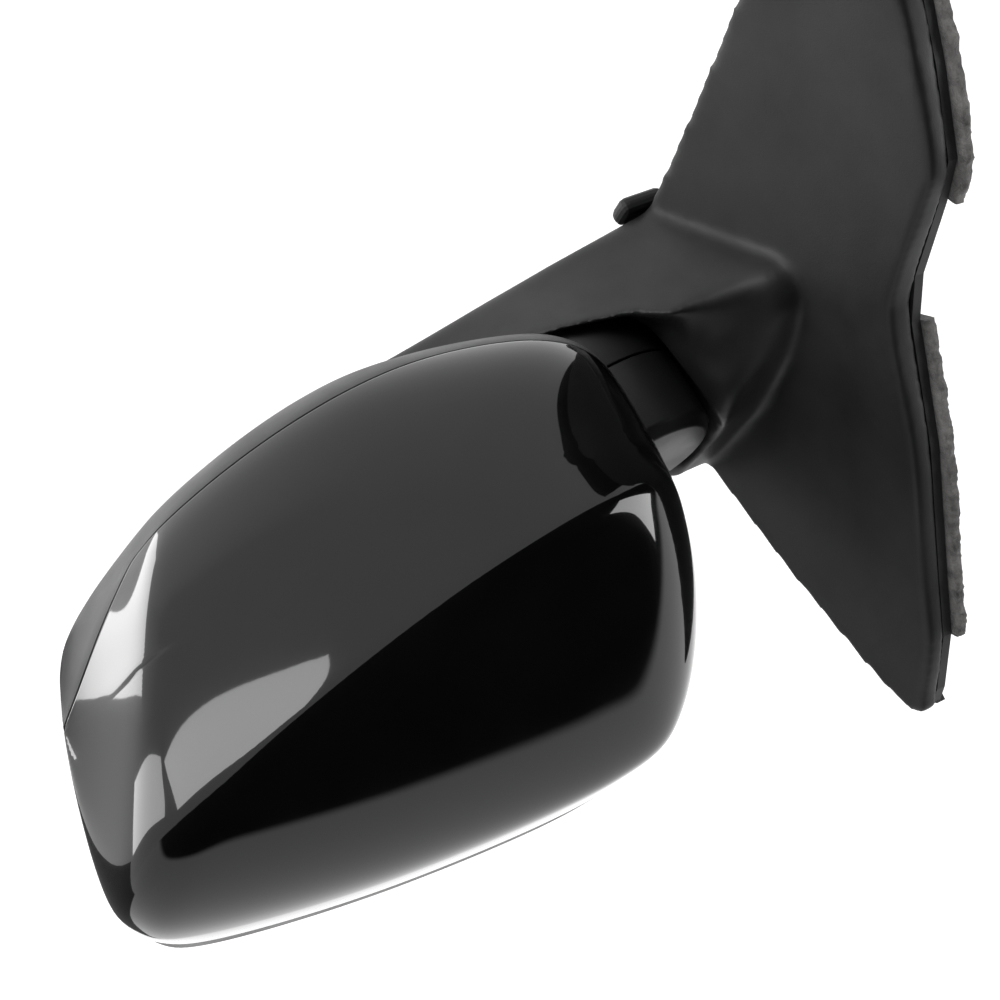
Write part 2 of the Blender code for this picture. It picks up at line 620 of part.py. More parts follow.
def low_room_ring(row):
    """The room under the cup's floor at one station."""
    x, rear_y, rear_z, ridge_y, ridge_z, front_y = row[0], row[1], row[2], row[9], row[10], row[11]
    top, bottom = min(CUP_FLOOR_Z, rear_z) - FOOT_WALL, FOOT_BOTTOM_Z + FOOT_WALL
    lean = (ridge_y - front_y) / (ridge_z - FOOT_BOTTOM_Z)
    front = [(front_y + lean * (z - FOOT_BOTTOM_Z) + FOOT_WALL + 1.0, z) for z in (top, bottom)]
    return [Vector((x, y, z)) for y, z in ((rear_y - FOOT_WALL, bottom), (rear_y - FOOT_WALL, top), *front)]


def foot_ring(x, inset=0.0):
    """The foot's section at one x, with its corners cut, moved inwards by a little."""
    after = next((k for k, row in enumerate(FOOT_STATIONS) if row[0] >= x), len(FOOT_STATIONS) - 1)
    start, end = FOOT_STATIONS[max(0, after - 1)], FOOT_STATIONS[after]
    part = (x - start[0]) / max(1e-6, end[0] - start[0]) if after else 0.0
    rear_y, rear_z, *edges, front_y = (a + (b - a) * part for a, b in zip(start[1:], end[1:]))
    corners = [(rear_y, FOOT_BOTTOM_Z), (rear_y, rear_z), *zip(edges[::2], edges[1::2]), (front_y, FOOT_BOTTOM_Z)]
    if inset:
        corners = inset_outline(corners, inset)
    corners = [Vector(c) for c in corners]
    ring = []
    for k, here in enumerate(corners):
        before, following = corners[k - 1], corners[(k + 1) % len(corners)]
        for side in (before, following):
            run = side - here
            cut_point = here + run * min(0.3, CORNER_CUT / max(1e-6, run.length))
            ring.append(Vector((x, *cut_point)))
    return ring


CORNER_CUT = 3.5
TALL_ROOM = (24, 30, 37)
TRAY_Y_INSET = 8.5             # between the foot's bottom edges and the tray's way
TRAY_GAP = 0.4


def tray_outline(gap):
    """The undertray's outline in x, y, less a gap."""
    rows = [row for row in FOOT_STATIONS if 40 < row[0] < 130]
    front = [(row[0], row[-1] + TRAY_Y_INSET + gap) for row in rows]
    rear = [(row[0], row[1] - TRAY_Y_INSET - gap) for row in reversed(rows)]
    front[0], rear[-1] = (front[0][0] + gap, front[0][1]), (rear[-1][0] + gap, rear[-1][1])
    front[-1], rear[0] = (front[-1][0] - gap, front[-1][1]), (rear[0][0] - gap, rear[0][1])
    return front + rear


def flat_slab(outline, low, high):
    """A slab of a given outline in x, y."""
    return [[Vector((x, y, z)) for x, y in outline] for z in (low, high)]


def build_foot():
    """The one-piece moulding of sail and foot, hollow behind, with the cup for the neck."""
    sail = side_slab("sail", SAIL_OUTLINE, PLATE_X[1] + 0.4, sail_face_x)
    foot = add_object("sail_foot", sail, TEXTURED)
    join(foot, loft("foot_form", [foot_ring(row[0]) for row in FOOT_STATIONS]))
    room = side_slab("sail_room", inset_outline(SAIL_OUTLINE, 3.0), SAIL_ROOM_X, lambda y, z: sail_face_x(y, z) - SAIL_WALL)
    cut(foot, room)
    cut(foot, loft("tall_room", [foot_ring(x, FOOT_WALL) for x in TALL_ROOM]))
    cut(foot, loft("low_room", [low_room_ring(row) for row in FOOT_STATIONS if 33 < row[0] < 130]))
    tray_way = flat_slab(tray_outline(0), FOOT_BOTTOM_Z - 5, FOOT_BOTTOM_Z + 6)
    cut(foot, loft("tray_way", tray_way))
    cut(foot, rod_mesh("cup", (FOLD_X, FOLD_Y, 0), CUP_FLOOR_Z, 80, CUP_R, sides=48))
    cut(foot, rod_mesh("post_way", (FOLD_X, FOLD_Y, 0), -8, 8, POST_WAY_R, sides=28))
    tray = flat_slab(tray_outline(TRAY_GAP), FOOT_BOTTOM_Z + TRAY_SET_IN, FOOT_BOTTOM_Z + TRAY_SET_IN + TRAY_THICK)
    undertray = add_object("foot_undertray", loft("undertray", tray), TEXTURED)
    for index, (x, y) in enumerate(TRAY_SCREWS, 1):
        cut(undertray, rod_mesh("tray_hole", (x, y, 0), -30, -20, 1.8, sides=16))
        profile = [(0, FOOT_BOTTOM_Z - 1.4), (2.6, FOOT_BOTTOM_Z - 1.4), (3.0, FOOT_BOTTOM_Z - 0.1),
                   (1.4, FOOT_BOTTOM_Z - 0.1), (1.4, FOOT_BOTTOM_Z + 6), (0, FOOT_BOTTOM_Z + 6)]
        add_object(f"tray_screw_{index}", turned_mesh("tray_screw", profile, (x, y, 0), sides=16), STEEL)
    lug = add_object("rear_lug", box_mesh("lug", (21, -41, FOOT_BOTTOM_Z - 7.5), (41, -29, FOOT_BOTTOM_Z - GAP)), TEXTURED)
    round_edges(lug, 3.0, 3)


def build_bracket():
    """The cast bracket: door plate, beam, post and the bosses that the door's screws go into."""
    outline = [(-60, -20), (-60, 18), (-44, 40), (-30, 46), (8, 46), (15, 38), (15, -20)]
    bracket = add_object("base_frame", side_slab("bracket", outline, PLATE_X[1] + 0.5, PLATE_X[1] + 4.5), CAST)
    join(bracket, box_mesh("beam", *BEAM_CORNERS))
    join(bracket, rod_mesh("post_seat", (FOLD_X, FOLD_Y, 0), -6, 0.4, POST_SEAT_R, sides=28))
    join(bracket, rod_mesh("post", (FOLD_X, FOLD_Y, 0), -12, POST_TOP_Z, POST_R, sides=28))
    cut(bracket, rod_mesh("post_bore", (FOLD_X, FOLD_Y, 0), -30, 60, POST_BORE_R, sides=20))
    for y, z in DOOR_BOSSES.values():
        join(bracket, rod_mesh("boss", (0, y, z), 0, PLATE_X[1] + 2, BOSS_R, 'X', 20))
        cut(bracket, rod_mesh("boss_hole", (0, y, z), -2, PLATE_X[1] + 3, BOSS_HOLE_R, 'X', 12))
    cut(bracket, rod_mesh("loom_way", (0, *LOOM_PLACE), 0, 20, 7.0, 'X', 24))
    plate = add_object("back_plate", side_slab("plate", inset_outline(SAIL_OUTLINE, 1.0), *PLATE_X), PLASTIC)
    for y, z in DOOR_BOSSES.values():
        cut(plate, rod_mesh("boss_way", (0, y, z), 0, 12, BOSS_R + GAP, 'X', 20))
    cut(plate, rod_mesh("loom_way", (0, *LOOM_PLACE), 0, 12, 8.0, 'X', 24))
    profile = [(5.0, -7.0), (6.6, -7.0), (7.6, -1.0), (10.5, 1.0), (10.5, 4.6), (7.6, 4.6), (7.6, 9.3), (5.0, 9.3)]
    grommet = turned_mesh("grommet", profile, (0, *LOOM_PLACE), 'X', 28)
    add_object("cable_grommet", grommet, RUBBER)
    peg = [(0, -8.0), (2.4, -8.0), (3.8, -5.5), (3.8, 4.7), (0, 4.7)]
    add_object("locating_peg", turned_mesh("peg", peg, (0, -150.0, 8.0), 'X', 24), PLASTIC)
    clip = [(2, 166), (13, 172), (15, 178), (12, 180), (11, 175), (2, 170)]
    add_object("edge_clip", side_slab("clip", clip, 0.5, PLATE_X[0] - GAP), PLASTIC)


def gasket_band(name, first, last):
    """A foam band along part of the sail's edge."""
    outer, inner = inset_outline(SAIL_OUTLINE, -2.5), inset_outline(SAIL_OUTLINE, 11.0)
    rim = outer[first:last + 1] + list(reversed(inner[first:last + 1]))
    return side_slab(name, rim, *GASKET_X)


def build_gaskets():
    """The two foam seals between carrier plate and door."""
    add_object("gasket_upper", gasket_band("gasket_upper", 6, 9), FOAM)
    add_object("gasket_lower", gasket_band("gasket_lower", 11, 18), FOAM)


def build_pivot():
    """The sprung fold detent on the post."""
    centre = (FOLD_X, FOLD_Y, 0)
    lower = add_object("detent_ring_lower", ring_mesh("lower", POST_R + 0.4, 15.2, 0.8, 4.2, centre), STEEL)
    upper = add_object("detent_ring_upper", ring_mesh("upper", POST_R + 0.6, 15.2, 4.7, 8.0), STEEL, True)
    for k in range(3):
        angle = math.tau * k / 3
        x, y = 12.2 * math.cos(angle), 12.2 * math.sin(angle)
        cut(lower, rod_mesh("notch", (FOLD_X + x, FOLD_Y + y, 0), 3.0, 6.0, 1.6, sides=16))
        join(upper, rod_mesh("detent", (x, y, 0), 4.4, 5.5, 1.2, sides=16), True)
    add_object("neck_seal", ring_mesh("neck_seal", 20.2, 25.4, CUP_FLOOR_Z + 0.5, 7.8), RUBBER, True)
    low, high, coil_r, wire_r, turns = 14.0, POST_TOP_Z - 6.4, 12.0, 1.35, 5
    curve = bpy.data.curves.new("pivot_spring", 'CURVE')
    curve.dimensions = '3D'
    curve.bevel_depth = wire_r * MM
    curve.bevel_resolution = 2
    curve.use_fill_caps = True
    spline = curve.splines.new('POLY')
    steps = turns * 10
    spline.points.add(steps)
    for k, point in enumerate(spline.points):
        angle = math.tau * k / 10
        height = low + (high - low) * k / steps
        point.co = (coil_r * math.cos(angle) * MM, coil_r * math.sin(angle) * MM, height * MM, 1)
    curve.materials.append(STEEL)
    spring = bpy.data.objects.new("pivot_spring", curve)
    PARTS.objects.link(spring)
    spring.parent = head_axis
    add_object("spring_washer", ring_mesh("washer", POST_R + 0.3, 14.4, POST_TOP_Z - 4.6, POST_TOP_Z - 3.0, centre), STEEL)
    clip = [(POST_R + 0.3, POST_TOP_Z - 2.6), (11.2, POST_TOP_Z - 2.6), (11.2, POST_TOP_Z - 1.2),
            (POST_R + 0.3, POST_TOP_Z - 1.2)]
    add_object("spring_clip", turned_mesh("spring_clip", clip, centre, sides=28), STEEL)


build_foot()
build_bracket()
build_gaskets()
build_pivot()
build_shells()
build_frame()
build_actuator()
build_drives()
build_glass()
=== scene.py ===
"""Surfaces, finishes, light and camera for a left-hand car door mirror.

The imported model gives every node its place. This script swaps the faceted outer mouldings for
finely shaped ones, grows the foam seals and gives every piece its finish. Lengths inside the
classes are millimetres in the maker's frame (+X out from the door, -Y forward, +Z up); MM turns
them into metres. The studio alone is in metres.
"""
import logging
import math
from dataclasses import dataclass, field
from enum import Enum
from typing import Callable, Iterable, Sequence

import bmesh
import bpy
from mathutils import Matrix, Quaternion, Vector, noise


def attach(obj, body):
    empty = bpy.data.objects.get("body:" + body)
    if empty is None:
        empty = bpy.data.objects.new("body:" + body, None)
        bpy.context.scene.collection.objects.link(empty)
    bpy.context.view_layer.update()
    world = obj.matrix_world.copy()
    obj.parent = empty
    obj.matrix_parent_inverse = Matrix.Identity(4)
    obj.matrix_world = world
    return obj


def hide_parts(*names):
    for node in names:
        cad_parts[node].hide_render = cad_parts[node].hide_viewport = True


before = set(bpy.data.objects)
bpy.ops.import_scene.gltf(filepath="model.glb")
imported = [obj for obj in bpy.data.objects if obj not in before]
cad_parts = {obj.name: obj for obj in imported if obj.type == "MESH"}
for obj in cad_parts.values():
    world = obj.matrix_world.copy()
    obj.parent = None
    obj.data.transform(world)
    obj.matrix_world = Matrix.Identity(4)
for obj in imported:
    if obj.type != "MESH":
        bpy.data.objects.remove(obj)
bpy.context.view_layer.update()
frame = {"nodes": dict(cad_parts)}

MM = 0.001
WELD = 1e-4            # millimetres between points that are one
TIDY_SHARE = 0.97      # of an inset's distance, below which its points are left out
log = logging.getLogger("door_mirror")


class Body(Enum):
    """The rigid bodies that pieces ride on."""

    ROOT = "root"
    HEAD = "head"
    GLASS = "glass"


# ---- node bench ---------------------------------------------------------------------------------
class NodeBench:
    """A small workbench for one material's node tree."""

    def __init__(self, name: str) -> None:
        """Start a material with an empty Principled surface.

        Args:
            name: The material's name.
        """
        self.material = bpy.data.materials.new(name)
        self.material.use_nodes = True
        self.tree = self.material.node_tree
        self.shader = self.tree.nodes["Principled BSDF"]
        self.coords = self.tree.nodes.new("ShaderNodeTexCoord")

    def node(self, kind: str, **values: object) -> bpy.types.Node:
        """Add a node and set its properties.

        Args:
            kind: The node's type name.
            **values: Properties to set on the node.

        Returns:
            The new node.
        """
        made = self.tree.nodes.new(kind)
        for key, value in values.items():
            setattr(made, key, value)
        return made

    def link(self, source: bpy.types.NodeSocket, target: bpy.types.NodeSocket) -> None:
        """Join two sockets."""
        self.tree.links.new(source, target)

    def noise(self, scale: float, detail: float = 3.0, roughness: float = 0.5) -> bpy.types.NodeSocket:
        """Noise over the piece, in object coordinates.

        Args:
            scale: Features per metre.
            detail: Octaves of finer noise.
            roughness: Strength of the finer octaves.

        Returns:
            The noise value's socket.
        """
        made = self.node("ShaderNodeTexNoise")
        made.inputs["Scale"].default_value = scale
        made.inputs["Detail"].default_value = detail
        made.inputs["Roughness"].default_value = roughness
        self.link(self.coords.outputs["Object"], made.inputs["Vector"])
        return made.outputs["Fac"]

    def cells(self, scale: float, feature: str = "F1") -> bpy.types.NodeSocket:
        """Cell pattern over the piece, as in leather grain or foam.

        Args:
            scale: Cells per metre.
            feature: Which Voronoi distance is read.

        Returns:
            The distance socket.
        """
        made = self.node("ShaderNodeTexVoronoi", feature=feature)
        made.inputs["Scale"].default_value = scale
        self.link(self.coords.outputs["Object"], made.inputs["Vector"])
        return made.outputs["Distance"]

    def spread(self, value: bpy.types.NodeSocket, low: float, high: float,
               start: float = 0.3, end: float = 0.7) -> bpy.types.NodeSocket:
        """Map a value to a narrow range.

        Args:
            value: The socket to map.
            low: Result where the value is at or below start.
            high: Result where it is at or above end.
            start: Lower end of the input range.
            end: Upper end of the input range.

        Returns:
            The mapped socket.
        """
        made = self.node("ShaderNodeMapRange")
        for key, number in (("From Min", start), ("From Max", end), ("To Min", low), ("To Max", high)):
            made.inputs[key].default_value = number
        self.link(value, made.inputs["Value"])
        return made.outputs["Result"]

    def shades(self, value: bpy.types.NodeSocket, stops: Sequence[tuple]) -> bpy.types.NodeSocket:
        """Turn a value into colour along a ramp.

        Args:
            value: The driving socket.
            stops: Pairs of position and (r, g, b).

        Returns:
            The colour socket.
        """
        made = self.node("ShaderNodeValToRGB")
        ramp = made.color_ramp
        while len(ramp.elements) < len(stops):
            ramp.elements.new(0.5)
        for element, (place, colour) in zip(ramp.elements, stops):
            element.position = place
            element.color = (*colour, 1.0)
        self.link(value, made.inputs["Fac"])
        return made.outputs["Color"]

    def bump(self, height: bpy.types.NodeSocket, depth_mm: float, strength: float = 1.0,
             over: bpy.types.NodeSocket | None = None) -> bpy.types.NodeSocket:
        """Add a bump to the surface.

        Args:
            height: The height socket.
            depth_mm: Depth of the relief in millimetres.
            strength: How strongly it shows.
            over: A normal from another bump that this one is laid on.

        Returns:
            The normal socket.
        """
        made = self.node("ShaderNodeBump")
        made.inputs["Strength"].default_value = strength
        made.inputs["Distance"].default_value = depth_mm * MM
        self.link(height, made.inputs["Height"])
        if over is not None:
            self.link(over, made.inputs["Normal"])
        return made.outputs["Normal"]

    def set(self, **values: object) -> None:
        """Set constant values straight on the shader's sockets."""
        for key, value in values.items():
            self.shader.inputs[key.replace("_", " ")].default_value = value


# ---- finishes -----------------------------------------------------------------------------------
@dataclass(frozen=True)
class GlossPaint:
    """Polished black lacquer over primer, with faint orange peel and dust."""

    name: str = "black lacquer"
    colour: tuple = (0.0018, 0.0018, 0.0020)
    dusty: tuple = (0.0032, 0.0032, 0.0034)
    roughness: float = 0.11

    def build(self) -> bpy.types.Material:
        """Make the material."""
        bench = NodeBench(self.name)
        bench.set(Coat_Weight=1.0, Coat_Roughness=0.03, Coat_IOR=1.4, Specular_IOR_Level=0.04)
        bench.link(bench.shades(bench.noise(18, 5), [(0.42, self.colour), (0.72, self.dusty)]),
                   bench.shader.inputs["Base Color"])
        bench.link(bench.spread(bench.noise(60, 4), self.roughness, self.roughness + 0.07),
                   bench.shader.inputs["Roughness"])
        peel = bench.bump(bench.noise(420, 1.0), 0.012, 0.35)
        bench.link(peel, bench.shader.inputs["Normal"])
        bench.link(bench.bump(bench.noise(300, 1.0), 0.006, 0.25), bench.shader.inputs["Coat Normal"])
        return bench.material


@dataclass(frozen=True)
class GrainedPlastic:
    """Weathered moulded black plastic with a fine spark-eroded grain."""

    name: str
    dark: tuple = (0.006, 0.006, 0.0065)
    light: tuple = (0.012, 0.012, 0.0125)
    roughness: float = 0.44
    grain_per_m: float = 1900.0
    grain_mm: float = 0.05

    def build(self) -> bpy.types.Material:
        """Make the material."""
        bench = NodeBench(self.name)
        bench.set(IOR=1.48, Specular_IOR_Level=0.28)
        mottled = bench.shades(bench.noise(25, 6, 0.6), [(0.35, self.dark), (0.7, self.light)])
        bench.link(mottled, bench.shader.inputs["Base Color"])
        bench.link(bench.spread(bench.noise(40, 5), self.roughness, self.roughness + 0.14),
                   bench.shader.inputs["Roughness"])
        grain = bench.bump(bench.cells(self.grain_per_m), self.grain_mm, 0.5)
        bench.link(bench.bump(bench.noise(90, 3), 0.10, 0.15, grain), bench.shader.inputs["Normal"])
        return bench.material


@dataclass(frozen=True)
class FoamFinish:
    """Torn closed-cell grey foam."""

    name: str = "grey foam"
    dark: tuple = (0.020, 0.019, 0.018)
    light: tuple = (0.17, 0.165, 0.16)

    def build(self) -> bpy.types.Material:
        """Make the material."""
        bench = NodeBench(self.name)
        bench.set(Roughness=0.95, Sheen_Weight=0.2, Sheen_Roughness=0.6)
        bench.link(bench.shades(bench.noise(160, 8, 0.65), [(0.3, self.dark), (0.65, self.light)]),
                   bench.shader.inputs["Base Color"])
        pores = bench.bump(bench.cells(1500), 0.35, 0.8)
        bench.link(bench.bump(bench.noise(350, 6), 0.6, 0.5, pores), bench.shader.inputs["Normal"])
        return bench.material


@dataclass(frozen=True)
class MetalFinish:
    """Plated, turned or cast metal."""

    name: str
    dark: tuple
    light: tuple
    roughness: float
    pitting_per_m: float = 700.0
    pitting_mm: float = 0.03

    def build(self) -> bpy.types.Material:
        """Make the material."""
        bench = NodeBench(self.name)
        bench.set(Metallic=1.0)
        bench.link(bench.shades(bench.noise(120, 6), [(0.35, self.dark), (0.65, self.light)]),
                   bench.shader.inputs["Base Color"])
        bench.link(bench.spread(bench.noise(200, 4), self.roughness, self.roughness + 0.15),
                   bench.shader.inputs["Roughness"])
        bench.link(bench.bump(bench.noise(self.pitting_per_m, 3), self.pitting_mm, 0.4),
                   bench.shader.inputs["Normal"])
        return bench.material


@dataclass(frozen=True)
class SilveredGlass:
    """Convex silvered glass with the faintest film of dust."""

    name: str = "silvered glass"
    tint: tuple = (0.83, 0.87, 0.88)

    def build(self) -> bpy.types.Material:
        """Make the material."""
        bench = NodeBench(self.name)
        bench.set(Metallic=1.0, Coat_Weight=0.6, Coat_Roughness=0.01)
        bench.link(bench.shades(bench.noise(12, 3), [(0.3, self.tint), (0.8, (0.88, 0.90, 0.91))]),
                   bench.shader.inputs["Base Color"])
        bench.link(bench.spread(bench.noise(45, 5), 0.008, 0.03), bench.shader.inputs["Roughness"])
        return bench.material


# ---- form helpers -------------------------------------------------------------------------------
def smooth_loop(points: Sequence[tuple], count: int) -> list[Vector]:
    """Evenly spaced points on the closed smooth curve through a few points.

    Args:
        points: The few points, two numbers each.
        count: How many points to return.

    Returns:
        Two-dimensional vectors round the loop.
    """
    steps = 24     # points between two of the few
    dense: list[Vector] = []
    for i in range(len(points)):
        before, start, end, after = (Vector((*points[(i + k) % len(points)], 0)) for k in (-1, 0, 1, 2))
        for k in range(steps):
            t = k / steps
            dense.append(0.5 * (2 * start + (end - before) * t
                                + (2 * before - 5 * start + 4 * end - after) * t * t
                                + (3 * start - before - 3 * end + after) * t ** 3))
    return [p.to_2d() for p in spaced(dense + dense[:1], count + 1)[:-1]]


def spaced(points: Sequence[Vector], count: int) -> list[Vector]:
    """Evenly spaced points along a path.

    Args:
        points: The path.
        count: How many points to return, both ends included.

    Returns:
        The new points.
    """
    lengths = [0.0]
    for a, b in zip(points, points[1:]):
        lengths.append(lengths[-1] + (b - a).length)
    made, index = [], 0
    for k in range(count):
        want = lengths[-1] * k / (count - 1)
        while index < len(lengths) - 2 and lengths[index + 1] < want:
            index += 1
        part = (want - lengths[index]) / max(1e-9, lengths[index + 1] - lengths[index])
        made.append(points[index].lerp(points[index + 1], min(1.0, part)))
    return made


def eased(stations: Sequence[tuple], place: float) -> tuple:
    """Read a table of stations smoothly.

    Args:
        stations: Rows of numbers whose first column is the place.
        place: Where to read.

    Returns:
        The row's other numbers at that place.
    """
    last = len(stations) - 1
    index = max(0, min(last - 1, sum(row[0] <= place for row in stations) - 1))
    before, start, end, after = (stations[max(0, min(last, index + k))] for k in (-1, 0, 1, 2))
    gap = end[0] - start[0]
    t = (place - start[0]) / gap
    row = []
    for a, b, c, d in zip(before[1:], start[1:], end[1:], after[1:]):
        slope_in = (c - a) / max(1e-9, end[0] - before[0]) * gap
        slope_out = (d - b) / max(1e-9, after[0] - start[0]) * gap
        row.append((2 * t**3 - 3 * t**2 + 1) * b + (t**3 - 2 * t**2 + t) * slope_in
                   + (3 * t**2 - 2 * t**3) * c + (t**3 - t**2) * slope_out)
    return tuple(row)


def inset_loop(loop: Sequence[Vector], distance: float, tidy: bool = False) -> list[Vector]:
    """Move a loop inwards; a negative distance moves it outwards.

    Args:
        loop: The loop.
        distance: How far.
        tidy: Whether points that end up too near the old loop, at sharp corners, are left out.

    Returns:
        The new loop.
    """
    moved = []
    for k, here in enumerate(loop):
        run = (loop[(k + 1) % len(loop)] - loop[k - 1]).normalized()
        moved.append(here + Vector((-run.y, run.x)) * distance)
    if tidy:
        moved = [p for p in moved if min((p - q).length for q in loop) > TIDY_SHARE * abs(distance)]
    return moved


def mapped_grid(columns: int, rows: int, place: Callable[[int, int], Vector],
                round_columns: bool = True, round_rows: bool = False) -> bmesh.types.BMesh:
    """A grid primitive laid on a surface, welded into a tube or ring where asked.

    Args:
        columns: Faces round the piece.
        rows: Faces along it.
        place: Gives the point at a column and row.
        round_columns: Whether the last column meets the first.
        round_rows: Whether the last row meets the first.

    Returns:
        The new bmesh, in millimetres.
    """
    bm = bmesh.new()
    bmesh.ops.create_grid(bm, x_segments=columns, y_segments=rows, size=0.5)
    for vert in bm.verts:
        column = round((vert.co.x + 0.5) * columns)
        row = round((vert.co.y + 0.5) * rows)
        vert.co = place(column % columns if round_columns else column, row % rows if round_rows else row)
    bmesh.ops.remove_doubles(bm, verts=bm.verts, dist=WELD)
    return bm


def close_holes(bm: bmesh.types.BMesh) -> bmesh.types.BMesh:
    """Fill the open ends of a tube."""
    bmesh.ops.holes_fill(bm, edges=[e for e in bm.edges if e.is_boundary], sides=0)
    return bm


def slab(loop: Sequence[Vector], low: Callable[[Vector], float],
         high: Callable[[Vector], float]) -> bmesh.types.BMesh:
    """A disc pulled to an outline in y, z and raised between two faces.

    Args:
        loop: The outline.
        low: x of the inner face at an outline point.
        high: x of the outer face at an outline point.

    Returns:
        The closed slab, in millimetres.
    """
    bm = bmesh.new()
    disc = bmesh.ops.create_circle(bm, cap_ends=True, segments=len(loop), radius=1.0)["verts"]
    for vert, point in zip(disc, loop):
        vert.co = (low(point), point.x, point.y)
    raised = bmesh.ops.extrude_face_region(bm, geom=bm.faces[:])["geom"]
    for vert in raised:
        if isinstance(vert, bmesh.types.BMVert):
            vert.co.x = high(Vector((vert.co.y, vert.co.z)))
    bmesh.ops.recalc_face_normals(bm, faces=bm.faces)
    return bm


def turned(profile: Sequence[tuple], steps: int = 96) -> bmesh.types.BMesh:
    """Spin a few points round the Z axis.

    Args:
        profile: Radius and height of each point, in order.
        steps: Facets round the piece.

    Returns:
        The turned solid, in millimetres.
    """
    bm = bmesh.new()
    verts = [bm.verts.new((r, 0, h)) for r, h in profile]
    edges = [bm.edges.new(pair) for pair in zip(verts, verts[1:] + verts[:1])
             if max(v.co.x for v in pair) > 0]
    bmesh.ops.spin(bm, geom=verts + edges, axis=(0, 0, 1), angle=math.tau, steps=steps, use_merge=True)
    bmesh.ops.remove_doubles(bm, verts=bm.verts, dist=WELD)
    bmesh.ops.recalc_face_normals(bm, faces=bm.faces)
    return bm


def rounded_profile(points: Sequence[tuple], width: float, segments: int = 4) -> list[tuple]:
    """Round the corners of a profile with arcs; corners on the axis stay sharp.

    Args:
        points: The profile's corners, in order.
        width: How far each arc reaches along its two sides.
        segments: Facets in each arc.

    Returns:
        The rounded profile.
    """
    most_of_a_side = 0.45
    corners = [Vector(point) for point in points]
    made = []
    for k, here in enumerate(corners):
        before, after = corners[k - 1], corners[(k + 1) % len(corners)]
        if here.x <= 0:
            made.append(tuple(here))
            continue
        into, away = before - here, after - here
        reach = min(width, into.length * most_of_a_side, away.length * most_of_a_side)
        a, b = here + into.normalized() * reach, here + away.normalized() * reach
        for s in range(segments + 1):
            t = s / segments
            made.append(tuple(a * (1 - t) ** 2 + here * 2 * t * (1 - t) + b * t ** 2))
    return made


@dataclass(frozen=True)
class Mount:
    """Where a piece belongs: its body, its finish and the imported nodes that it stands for."""

    body: Body
    slot: str
    finish: str
    replaces: tuple = ()
    on_head: bool = False
    sharp_deg: float = 32.0


